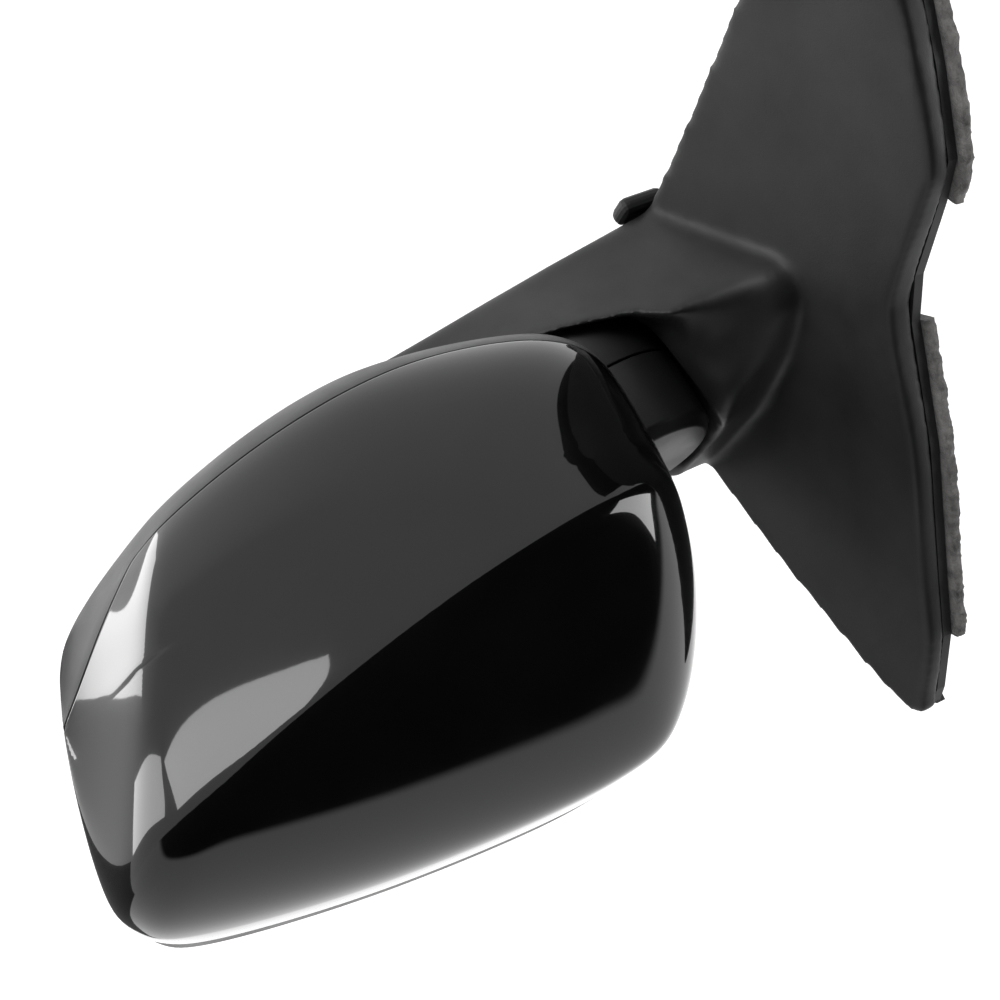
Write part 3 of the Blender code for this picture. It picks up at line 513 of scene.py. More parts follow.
class Workshop:
    """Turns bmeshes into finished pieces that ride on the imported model."""

    FOLD_AXIS = (74.0, -12.0)
    HEAD_SWEEP_DEG = 12.0
    SHELL_EDGE_DEG = 60.0
    HEAD_PLACE = (Matrix.Translation((*FOLD_AXIS, 0.0))
                  @ Matrix.Rotation(math.radians(HEAD_SWEEP_DEG), 4, "Z"))

    def __init__(self, finishes: dict[str, bpy.types.Material]) -> None:
        """Keep the finishes at hand.

        Args:
            finishes: Materials by name.
        """
        self.finishes = finishes

    def raw(self, bm: bmesh.types.BMesh, name: str, on_head: bool = False) -> bpy.types.Object:
        """Make a plain object at the origin from a bmesh in millimetres.

        Args:
            bm: The form; it is freed.
            name: The object's name.
            on_head: Whether the form is drawn on the head's own axes.

        Returns:
            The object, with its mesh in metres.
        """
        place = Matrix.Scale(MM, 4) @ (self.HEAD_PLACE if on_head else Matrix.Identity(4))
        bmesh.ops.transform(bm, matrix=place, verts=bm.verts)
        mesh = bpy.data.meshes.new(name)
        bm.to_mesh(mesh)
        bm.free()
        obj = bpy.data.objects.new(name, mesh)
        bpy.context.scene.collection.objects.link(obj)
        return obj

    def fit(self, obj: bpy.types.Object, mount: Mount) -> bpy.types.Object:
        """Give an object its finish and let it ride.

        Args:
            obj: The piece.
            mount: Where it belongs.

        Returns:
            The same piece.
        """
        obj.data.materials.clear()
        obj.data.materials.append(self.finishes[mount.finish])
        obj.data.shade_smooth()
        obj.data.set_sharp_from_angle(angle=math.radians(mount.sharp_deg))
        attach(obj, mount.body.value)
        if mount.replaces:
            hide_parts(*mount.replaces)
        log.info("%s: %d vertices on %s", obj.name, len(obj.data.vertices), mount.body.value)
        return obj

    def shell(self, bm: bmesh.types.BMesh, name: str, mount: Mount, wall_mm: float,
              edge_mm: float = 0.35) -> bpy.types.Object:
        """An open skin with a wall and softened edges.

        Args:
            bm: The outer skin, with its normals outwards.
            name: The piece's name.
            mount: Where it belongs.
            wall_mm: Wall thickness, inwards.
            edge_mm: Width of the rounding on the wall's edge.

        Returns:
            The fitted piece.
        """
        obj = self.raw(bm, name, mount.on_head)
        wall = obj.modifiers.new("wall", "SOLIDIFY")
        wall.thickness, wall.offset = wall_mm * MM, -1.0
        soft = obj.modifiers.new("soft edge", "BEVEL")
        soft.width, soft.segments, soft.limit_method = edge_mm * MM, 2, "ANGLE"
        soft.angle_limit = math.radians(self.SHELL_EDGE_DEG)
        soft.use_clamp_overlap = True
        return self.fit(obj, mount)

    def solid(self, bm: bmesh.types.BMesh, name: str, mount: Mount) -> bpy.types.Object:
        """A closed form, fitted as it is."""
        return self.fit(self.raw(bm, name, mount.on_head), mount)

    def moulded(self, core: bmesh.types.BMesh, added: Iterable[bmesh.types.BMesh],
                removed: Iterable[bmesh.types.BMesh], name: str, mount: Mount,
                cell_mm: float, soften: int) -> bpy.types.Object:
        """A moulding made of solids joined and cut, with every edge softened.

        Args:
            core: The first solid.
            added: Solids joined to it.
            removed: Solids cut from it.
            name: The piece's name.
            mount: Where it belongs.
            cell_mm: Size of the even mesh laid over it.
            soften: Rounds of smoothing.

        Returns:
            The fitted piece, with its steps already applied.
        """
        base = self.raw(core, name + "_core")
        tools = []
        for kind, forms in (("UNION", added), ("DIFFERENCE", removed)):
            for form in forms:
                tool = self.raw(form, f"{name}_tool_{len(tools)}")
                step = base.modifiers.new("step", "BOOLEAN")
                step.operation, step.solver, step.object = kind, "EXACT", tool
                tools.append(tool)
        even = base.modifiers.new("even mesh", "REMESH")
        even.mode, even.voxel_size = "VOXEL", cell_mm * MM
        soft = base.modifiers.new("soften", "SMOOTH")
        soft.factor, soft.iterations = 0.5, soften
        bpy.context.view_layer.update()
        graph = bpy.context.evaluated_depsgraph_get()
        mesh = bpy.data.meshes.new_from_object(base.evaluated_get(graph), depsgraph=graph)
        for used in (base, *tools):
            bpy.data.objects.remove(used, do_unlink=True)
        mesh.name = name
        obj = bpy.data.objects.new(name, mesh)
        bpy.context.scene.collection.objects.link(obj)
        return self.fit(obj, mount)


# ---- the head -----------------------------------------------------------------------------------
@dataclass
class HeadForm:
    """The outer form of the head, in its own frame: x outwards, y rearwards, z up."""

    columns: int = 300
    centre: tuple = (126.0, 74.0)
    side_depth: float = 20.0
    rim_y: float = 26.0
    neck_r: float = 28.5
    drum_top_z: float = 58.0
    cap_rear_y: float = 4.0
    crease_width: float = 1.2
    end_ridge_width: float = 2.4
    dome_power: float = 6.0
    dome_root: float = 2.2
    widest: list[Vector] = field(init=False)
    rear: list[Vector] = field(init=False)
    cap_end: list[float] = field(init=False)

    def __post_init__(self) -> None:
        """Draw the two outlines and find where the cap ends in every column."""
        lower = [(8, 50), (12, 18), (40, 1), (100, -10), (165, 1), (214, 24), (233, 52)]
        upper = [(247, 106), (244, 129), (222, 141), (155, 154), (78, 159), (45, 148), (18, 108)]
        self.widest = smooth_loop(lower + upper, self.columns)
        lower = [(12, 66), (26, 26), (50, 5), (102, -4), (163, 7), (208, 29), (226, 55)]
        upper = [(240, 106), (236, 125), (216, 136), (152, 148), (80, 153), (48, 142), (20, 106)]
        self.rear = smooth_loop(lower + upper, self.columns)
        self.cap_end = [self._find_cap_end(column) for column in range(self.columns)]

    @staticmethod
    def crease_height(x: float) -> float:
        """Height of the crease that runs along the cap."""
        return 88.5 + 0.00062 * x * x

    @staticmethod
    def parting_height(x: float) -> float:
        """Height of the cap's lower edge on the front."""
        return 7 + (0.00145 if x > 90 else 0.0041) * (x - 90) ** 2

    @staticmethod
    def rounded_min(a: float, b: float, width: float) -> float:
        """The smaller of two numbers, with the corner between them rounded."""
        low = min(a, b)
        return low - width * math.log(math.exp((low - a) / width) + math.exp((low - b) / width))

    def face_depth(self, x: float, z: float) -> float:
        """How far in front of the fold axis the cap's three faces stand.

        Args:
            x: Distance out along the head.
            z: Height.

        Returns:
            The depth.
        """
        crest = 95 - 0.00105 * (x - 85) ** 2
        rise = z - self.crease_height(x)
        lower = crest + 0.17 * rise - 0.0009 * rise * rise
        upper = crest - 0.62 * rise - 0.0030 * rise * abs(rise)
        end = crest - 1.15 * (x - 194 - 0.77 * (z - 58))
        faces = self.rounded_min(lower, upper, self.crease_width)
        return self.rounded_min(faces, end, self.end_ridge_width)

    def skin(self, column: int, reach: float) -> Vector:
        """A point of the skin.

        Args:
            column: Which column round the head.
            reach: 0 at the front's middle, 1 at the widest outline, 2 at the rear rim.

        Returns:
            The point.
        """
        rim = self.widest[column]
        if reach <= 1:
            radius = math.sin(math.pi / 2 * reach)
            x, z = (c + (r - c) * radius for c, r in zip(self.centre, rim))
            dome = max(0.0, 1 - radius ** self.dome_power) ** (1 / self.dome_root)
            depth = self.side_depth + (self.face_depth(x, z) - self.side_depth) * dome
            return Vector((x, -depth, z))
        part = min(1.0, reach - 1)
        flat = rim.lerp(self.rear[column], part ** 1.3)
        return Vector((flat.x, -self.side_depth + (self.rim_y + self.side_depth) * part, flat.y))

    def beyond_cap(self, point: Vector) -> bool:
        """Whether a point of the skin lies past the cap's edge."""
        in_drum = math.hypot(point.x, point.y) < self.neck_r + 1.5 and point.z < self.drum_top_z
        climb = 0.7 * min(1.0, max(0.0, (45 - point.x) / 25)) * max(0.0, point.y + 62)
        climb += 0.8 * min(1.0, max(0.0, (point.x - 150) / 50)) * max(0.0, point.y + 45)
        return in_drum or point.y > self.cap_rear_y or point.z < self.parting_height(point.x) + climb

    def _find_cap_end(self, column: int) -> float:
        """The reach at which the cap ends in one column."""
        steps = 200
        end = next(k for k in range(steps + 1) if self.beyond_cap(self.skin(column, 2 * k / steps)))
        low, high = 2 * (end - 1) / steps, 2 * end / steps
        for _ in range(12):
            middle = (low + high) / 2
            low, high = (low, middle) if self.beyond_cap(self.skin(column, middle)) else (middle, high)
        return low

    def inset(self, column: int, distance: float, y: float) -> Vector:
        """A point inwards of the rear rim, at a depth."""
        rim = self.rear[column]
        inward = (Vector(self.centre) - rim).normalized() * distance
        return Vector((rim.x + inward.x, y, rim.y + inward.y))

    def shrunk(self, column: int, share: float, y: float) -> Vector:
        """A point of the rear outline shrunk about the glass's centre."""
        x, z = (c + (r - c) * share for c, r in zip(self.centre, self.rear[column]))
        return Vector((x, y, z))


@dataclass
class HeadShells:
    """The lacquered cap and the grained housing strip that carries the rim."""

    form: HeadForm
    cap_rows: int = 110
    side_rows: int = 30
    gap: float = 1.1
    cap_wall: float = 2.4
    housing_wall: float = 1.6
    sharp_deg: float = 50.0
    probe: float = 0.02       # reach ahead of the cap's edge, to measure the gap by
    neck_way: tuple = (1.3, 2.5)   # less than the drum's radius, and less than its top
    lip: tuple = ((0.05, 0.0), (0.35, 0.45), (0.95, 0.75), (1.8, 0.85), (3.6, 0.85), (4.4, 0.65),
                  (4.9, 0.1), (5.2, -0.8), (5.4, -3.0), (5.8, -8.0), (6.4, -14.0))

    def build(self, shop: Workshop) -> None:
        """Make both shells.

        Args:
            shop: The workshop that fits the pieces.
        """
        form = self.form
        cap = mapped_grid(form.columns, self.cap_rows, self._cap_point)
        bmesh.ops.recalc_face_normals(cap, faces=cap.faces)
        self._face_outwards(cap)
        shop.shell(cap, "cap_lacquered",
                   Mount(Body.HEAD, "paint", "lacquer", ("cap",), True, self.sharp_deg),
                   self.cap_wall, 0.5)
        rows = self.side_rows + len(self.lip)
        housing = mapped_grid(form.columns, rows, self._strip_point)
        self._open_neck(housing)
        bmesh.ops.recalc_face_normals(housing, faces=housing.faces)
        self._face_outwards(housing)
        shop.shell(housing, "housing_grained",
                   Mount(Body.HEAD, "textured_plastic", "housing", ("lower_housing",), True,
                         self.sharp_deg),
                   self.housing_wall, 0.4)

    def _cap_point(self, column: int, row: int) -> Vector:
        """A point of the cap, between the front's middle and the cap's edge."""
        return self.form.skin(column, self.form.cap_end[column] * row / self.cap_rows)

    def _strip_point(self, column: int, row: int) -> Vector:
        """A point of the strip between the cap's edge and the inside of the rim."""
        form = self.form
        if row > self.side_rows:
            inwards, beyond = self.lip[row - self.side_rows - 1]
            return form.inset(column, inwards, form.rim_y + beyond)
        start = form.cap_end[column]
        edge = form.skin(column, start)
        ahead = form.skin(column, min(2.0, start + self.probe))
        start = min(1.9, start + self.probe * self.gap / max(0.05, (ahead - edge).length))
        return form.skin(column, start + (2 - start) * row / self.side_rows)

    def _open_neck(self, bm: bmesh.types.BMesh) -> None:
        """Open the strip where the neck's drum passes through it."""
        bore, top = self.form.neck_r - self.neck_way[0], self.form.drum_top_z - self.neck_way[1]
        inside = {v for v in bm.verts if math.hypot(v.co.x, v.co.y) < bore and v.co.z < top}
        doomed = [f for f in bm.faces if all(v in inside for v in f.verts)]
        bmesh.ops.delete(bm, geom=doomed, context="FACES")
        for vert in inside:
            if vert.is_valid:
                vert.co.x, vert.co.y = Vector((vert.co.x, vert.co.y)).normalized() * bore

    def _face_outwards(self, bm: bmesh.types.BMesh) -> None:
        """Turn the skin so that its normals point away from the head's middle."""
        middle = Vector((self.form.centre[0], -10.0, self.form.centre[1]))
        bm.normal_update()
        outward = sum(1 if f.normal.dot(f.calc_center_median() - middle) > 0 else -1 for f in bm.faces)
        if outward < 0:
            bmesh.ops.reverse_faces(bm, faces=bm.faces)


@dataclass
class NeckDrum:
    """The two turned drum pieces between head and foot."""

    radius: float = 28.5
    floor_z: float = 4.6
    split_z: float = 26.0
    top_z: float = 58.0
    wall: float = 2.5
    lid: float = 2.2

    def build(self, shop: Workshop) -> None:
        """Make the collar and the cover."""
        r, wall = self.radius, self.wall
        collar = rounded_profile([(r - wall, self.floor_z), (r, self.floor_z), (r, self.split_z),
                                  (r - wall, self.split_z)], 0.6)
        shop.solid(turned(collar), "neck_collar_turned",
                   Mount(Body.HEAD, "textured_plastic", "neck", ("neck_collar",), True))
        low, top = self.split_z + 0.5, self.top_z
        cover = rounded_profile([(r - wall, low), (r, low), (r, top - 4), (r - 3.5, top), (0, top),
                                 (0, top - self.lid), (r - 6, top - self.lid),
                                 (r - wall, top - 6)], 0.9)
        shop.solid(turned(cover), "neck_cover_turned",
                   Mount(Body.HEAD, "textured_plastic", "neck", ("neck_cover",), True))


@dataclass
class GlassUnit:
    """The convex mirror glass and the bezel round it."""

    form: HeadForm
    share: float = 0.872
    bulge: float = 2.4
    pane_y: float = 18.0
    pane_wall: float = 1.8
    rings: int = 26
    section: tuple = ((0.884, 15.2), (0.905, 15.2), (0.905, 18.4), (0.901, 19.6), (0.876, 19.6),
                      (0.866, 18.6), (0.884, 17.9))

    def build(self, shop: Workshop) -> None:
        """Make the glass and its bezel."""
        form = self.form
        pane = mapped_grid(form.columns, self.rings, self._pane_point)
        bmesh.ops.recalc_face_normals(pane, faces=pane.faces)
        pane.faces.ensure_lookup_table()
        if pane.faces[0].normal.y < 0:
            bmesh.ops.reverse_faces(pane, faces=pane.faces)
        shop.shell(pane, "mirror_pane",
                   Mount(Body.GLASS, "mirror", "mirror", ("mirror_glass",), True),
                   self.pane_wall, 0.3)
        profile = rounded_profile([(share * 100, y) for share, y in self.section], 0.5, 3)

        def bezel_point(column: int, row: int) -> Vector:
            """A point of the bezel, whose section holds percents and depths."""
            percent, y = profile[row]
            return form.shrunk(column, percent / 100, y)

        ring = mapped_grid(form.columns, len(profile), bezel_point, round_rows=True)
        bmesh.ops.recalc_face_normals(ring, faces=ring.faces)
        shop.solid(ring, "bezel_ring",
                   Mount(Body.GLASS, "textured_plastic", "bezel", ("glass_bezel",), True))

    def _pane_point(self, column: int, row: int) -> Vector:
        """A point of the bulging pane."""
        part = row / self.rings
        return self.form.shrunk(column, self.share * part, self.pane_y + self.bulge * (1 - part * part))


# ---- the pieces fixed to the door -----------------------------------------------------------------
@dataclass
class DoorForm:
    """The sail's outline and the foot's sections, in the row frame."""

    samples: int = 300
    lean: float = math.radians(5.5)
    toe: float = math.radians(4.0)
    inner_x: float = 9.4
    outer_x: float = 34.0
    outline: list[Vector] = field(init=False)

    def __post_init__(self) -> None:
        """Draw the sail's outline."""
        rear = [(20, -16), (20, 60), (19, 116), (15, 164), (9, 181), (1, 178)]
        top = [(-20, 165), (-37, 148), (-74, 112), (-103, 76), (-118, 66), (-148, 56)]
        front = [(-164, 49), (-185, 24), (-199, 4), (-220, -38), (-222, -50), (-212, -59)]
        bottom = [(-143, -44), (-47, -27), (10, -26)]
        self.outline = smooth_loop(rear + top + front + bottom, self.samples)

    def face_x(self, point: Vector) -> float:
        """Where the sail's outer face stands at a place in y, z."""
        return self.outer_x + point.x * math.tan(self.toe) - point.y * math.tan(self.lean)


@dataclass
class FootMoulding:
    """Sail and foot in one moulding, with soft edges and the cup for the neck."""

    form: DoorForm
    floor_z: float = -27.0
    wall: float = 3.2
    cup: tuple = (74.0, -12.0, 31.0, 3.6)
    rounding: float = 7.0
    arc: int = 6
    off_axis: float = 500.0        # keeps every corner on the side that rounded_profile rounds
    sail_wall: tuple = (3.2, 2.8)      # at the edge, and behind the outer face
    room_x: float = 2.0
    tall_end_x: float = 36.0
    tall_middle: tuple = (-22.0, 16.0)
    tall_share: float = 0.9
    tall_station: float = 38.0
    low_room: tuple = (34.0, 122.0, 24)    # start, end, rows
    post_way: tuple = (16.2, -8.0, 8.0)    # radius, low, high
    cup_top: float = 80.0
    tray_inset: float = 8.5
    tray_drop: float = 5.0
    tray_height: float = 11.0
    cell: float = 1.35
    smoothing: int = 14
    stations: tuple = (
        (24, 21, 57, -28, 58, -60, 53, -80, 44, -85, 31, -45),
        (34, 21, 57, -27, 58, -58, 52, -76, 43, -81, 31, -40),
        (42, 21, 57, -28, 59, -50, 54, -62, 43, -76, 30, -36.5),
        (50, 20, 56, -30, 59, -44, 54, -48, 40, -71, 29, -33),
        (55, 21, 40, -30, 41, -44, 38, -50, 32, -68.5, 28, -30.7),
        (60, 22, 20, -36, 21, -46, 22, -56, 27, -65.5, 27, -28.5),
        (66, 24, 10, -36, 12, -47, 16, -55, 22, -63, 25.5, -25.8),
        (72, 24, 3.6, -32, 4.5, -42, 10, -50, 15.5, -56, 18, -23),
        (80, 24, 3.6, -30, 4, -38, 8, -46, 12, -50, 13.5, -18.7),
        (95, 25, 0, -28, 1, -33, 4, -39, 7, -42, 7.5, -10.8),
        (108, 26, -3, -12, -2, -18, -1, -23, 0, -26, 0, -3.8),
        (121, 27, -9, 2, -8.5, -3, -8, -8, -8, -11, -8, 3),
        (140, 28, -16, 14, -16, 10, -17, 8, -17.5, 5, -18.5, 13),
        (152, 26, -21, 22, -21, 21, -22, 19, -23, 17, -24, 20))

    def corners(self, x: float) -> list[tuple]:
        """The corners of the foot's section at one distance from the door."""
        rear_y, rear_z, *edges, front_y = eased(self.stations, x)
        return [(rear_y, self.floor_z), (rear_y, rear_z), *zip(edges[::2], edges[1::2]),
                (front_y, self.floor_z)]

    def outer_ring(self, x: float) -> list[Vector]:
        """The foot's section with its corners rounded by arcs."""
        shifted = [(y + self.off_axis, z) for y, z in self.corners(x)]
        return [Vector((x, y - self.off_axis, z))
                for y, z in rounded_profile(shifted, self.rounding, self.arc)]

    def inner_ring(self, x: float) -> list[Vector]:
        """The section of the room under the cup's floor."""
        rear_y, rear_z, *_, ridge_y, ridge_z, front_y = eased(self.stations, x)
        top, bottom = min(self.cup[3], rear_z) - self.wall, self.floor_z + self.wall
        lean = (ridge_y - front_y) / (ridge_z - self.floor_z)
        front = [(front_y + lean * (z - self.floor_z) + self.wall + 1, z) for z in (top, bottom)]
        rear = rear_y - self.wall
        return [Vector((x, y, z)) for y, z in ((rear, bottom), (rear, top), *front)]

    def tube(self, section: Callable[[float], list[Vector]], start: float, end: float,
             rows: int) -> bmesh.types.BMesh:
        """A closed length of a section between two distances from the door."""
        rings = [section(start + (end - start) * row / rows) for row in range(rows + 1)]
        bm = close_holes(mapped_grid(len(rings[0]), rows, lambda column, row: rings[row][column]))
        bmesh.ops.recalc_face_normals(bm, faces=bm.faces)
        return bm

    def tray_way(self) -> bmesh.types.BMesh:
        """The opening in the underside that the tray lies in."""
        inset = self.tray_inset
        rows = [row for row in self.stations if 40 < row[0] < 130]
        front = [(row[0], row[-1] + inset) for row in rows]
        loop = front + [(row[0], row[1] - inset) for row in reversed(rows)]
        bm = bmesh.new()
        disc = bmesh.ops.create_circle(bm, cap_ends=True, segments=len(loop), radius=1.0)["verts"]
        for vert, (x, y) in zip(disc, loop):
            vert.co = (x, y, self.floor_z - self.tray_drop)
        raised = bmesh.ops.extrude_face_region(bm, geom=bm.faces[:])["geom"]
        bmesh.ops.translate(bm, vec=(0, 0, self.tray_height),
                            verts=[v for v in raised if isinstance(v, bmesh.types.BMVert)])
        bmesh.ops.recalc_face_normals(bm, faces=bm.faces)
        return bm

    def rod(self, radius: float, low: float, high: float) -> bmesh.types.BMesh:
        """A cylinder on the fold axis."""
        bm = bmesh.new()
        bmesh.ops.create_cone(bm, cap_ends=True, segments=96, radius1=radius, radius2=radius,
                              depth=high - low)
        bmesh.ops.translate(bm, vec=(self.cup[0], self.cup[1], (low + high) / 2), verts=bm.verts)
        return bm

    def build(self, shop: Workshop) -> None:
        """Make the moulding."""
        form, (edge_wall, face_wall) = self.form, self.sail_wall
        sail = slab(form.outline, lambda p: form.inner_x, form.face_x)
        room = slab(inset_loop(form.outline, edge_wall, True), lambda p: self.room_x,
                    lambda p: form.face_x(p) - face_wall)
        first, last = self.stations[0][0], self.stations[-1][0]
        tall = slab(self._tall_outline(), lambda p: first - 0.5, lambda p: self.tall_end_x)
        removed = [room, tall, self.tube(self.inner_ring, *self.low_room), self.tray_way(),
                   self.rod(self.cup[2], self.cup[3], self.cup_top), self.rod(*self.post_way)]
        mount = Mount(Body.ROOT, "textured_plastic", "sail", ("sail_foot",), sharp_deg=75.0)
        shop.moulded(sail, [self.tube(self.outer_ring, first, last, 110)], removed, "sail_and_foot",
                     mount, self.cell, self.smoothing)

    def _tall_outline(self) -> list[Vector]:
        """The outline of the room behind the foot's root."""
        middle = Vector(self.tall_middle)
        corners = self.corners(self.tall_station)
        return [middle + (Vector(corner) - middle) * self.tall_share for corner in corners]


@dataclass
class FoamSeals:
    """Strips of soft foam between the carrier plate and the door, with torn edges."""

    form: DoorForm
    thickness: tuple = (0.05, 4.7)
    overhang: float = -2.5
    inset: float = 11.0
    tear: float = 0.9
    length_points: int = 200
    columns: int = 26
    squareness: float = 0.35       # 1 gives a round section, less a squarer one

    def build(self, shop: Workshop) -> None:
        """Make the upper and the lower strip."""
        anchors = {"upper": ((-20, 165), (-103, 76)), "lower": ((-148, 56), (-143, -44))}
        for name, (start, end) in anchors.items():
            shop.solid(self._strip(start, end), f"foam_{name}",
                       Mount(Body.ROOT, "foam", "foam", (f"gasket_{name}",), sharp_deg=80.0))

    def _strip(self, start: tuple, end: tuple) -> bmesh.types.BMesh:
        """One strip along the sail's edge, between the outline points nearest two places."""
        loop = self.form.outline
        first, last = (min(range(len(loop)), key=lambda k: (loop[k] - Vector(place)).length)
                       for place in (start, end))
        outer, inner = (spaced([p.to_3d() for p in inset_loop(loop, distance)[first:last + 1]],
                               self.length_points) for distance in (self.overhang, self.inset))
        low, high = self.thickness

        def place(column: int, row: int) -> Vector:
            """A point of the torn strip's surface."""
            turn = math.tau * column / self.columns
            across, height = (0.5 + sign * 0.5 * math.copysign(abs(swing) ** self.squareness, swing)
                              for sign, swing in ((-1, math.cos(turn)), (1, math.sin(turn))))
            flat = outer[row].lerp(inner[row], across)
            point = Vector((low + (high - low) * height, flat.x, flat.y))
            rough = noise.fractal(point * 0.16, 0.7, 2.2, 5) * self.tear
            edge = (inner[row] - outer[row]).normalized()
            shift = rough * (1.4 if across < 0.2 or across > 0.8 else 0.3)
            point.y += edge.x * shift
            point.z += edge.y * shift
            if height > 0.5:
                point.x -= abs(noise.noise(point * 0.3)) * 0.35
            return point

        bm = close_holes(mapped_grid(self.columns, self.length_points - 1, place))
        bmesh.ops.recalc_face_normals(bm, faces=bm.faces)
        return bm


# ---- carried-over nodes -------------------------------------------------------------------------
class Dresser:
    """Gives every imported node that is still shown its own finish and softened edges."""

    WEAR = {
        "head_frame": "inner", "actuator_case": "inner", "actuator_lid": "inner",
        "glass_carrier": "inner",
        "back_plate": "inner", "locating_peg": "inner", "edge_clip": "inner", "foot_undertray": "sail",
        "rear_lug": "sail", "base_frame": "cast", "cable_grommet": "rubber", "neck_seal": "rubber",
        "detent_ring_lower": "steel", "detent_ring_upper": "steel", "spring_washer": "steel",
        "spring_clip": "steel", "pivot_spring": "steel", "motor_tilt": "steel", "motor_pan": "steel",
        "tray_screw_1": "steel", "tray_screw_2": "steel", "actuator_screw_1": "steel",
        "actuator_screw_2": "steel", "actuator_screw_3": "steel", "gimbal_ring": "nylon",
        "plunger_tilt": "nylon", "plunger_pan": "nylon", "screw_gear_tilt": "nylon",
        "screw_gear_pan": "nylon", "worm_tilt": "brass", "worm_pan": "brass", "heater_pad": "foil",
    }
    CRISP = {"inner", "sail", "cast"}
    BEVEL_MM, BEVEL_FROM_DEG = 0.4, 50.0

    def __init__(self, finishes: dict[str, bpy.types.Material]) -> None:
        """Keep the finishes at hand."""
        self.finishes = finishes

    def dress(self, nodes: dict[str, bpy.types.Object]) -> None:
        """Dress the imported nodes.

        Args:
            nodes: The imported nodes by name.
        """
        spare = self.finishes["inner"]
        for name, obj in nodes.items():
            finish = self.WEAR.get(name)
            obj.data.materials.clear()
            obj.data.materials.append(self.finishes.get(finish, spare))
            if finish in self.CRISP and not obj.hide_render:
                soft = obj.modifiers.new("soft edge", "BEVEL")
                soft.width, soft.segments, soft.limit_method = self.BEVEL_MM * MM, 2, "ANGLE"
                soft.angle_limit = math.radians(self.BEVEL_FROM_DEG)
        log.info("dressed %d packed nodes", len(nodes))


# ---- studio -------------------------------------------------------------------------------------
@dataclass(frozen=True)
class Shade:
    """A dark part of the surround: its direction, the angles where it is full and ends, its light."""

    direction: tuple
    inner: float
    outer: float
    light: float


@dataclass(frozen=True)
class Lamp:
    """A softbox or a card: its direction from the mirror, distance, size, brightness and spin."""

    name: str
    direction: tuple
    distance: float
    size: tuple
    radiance: float
    spin: float = 0.0


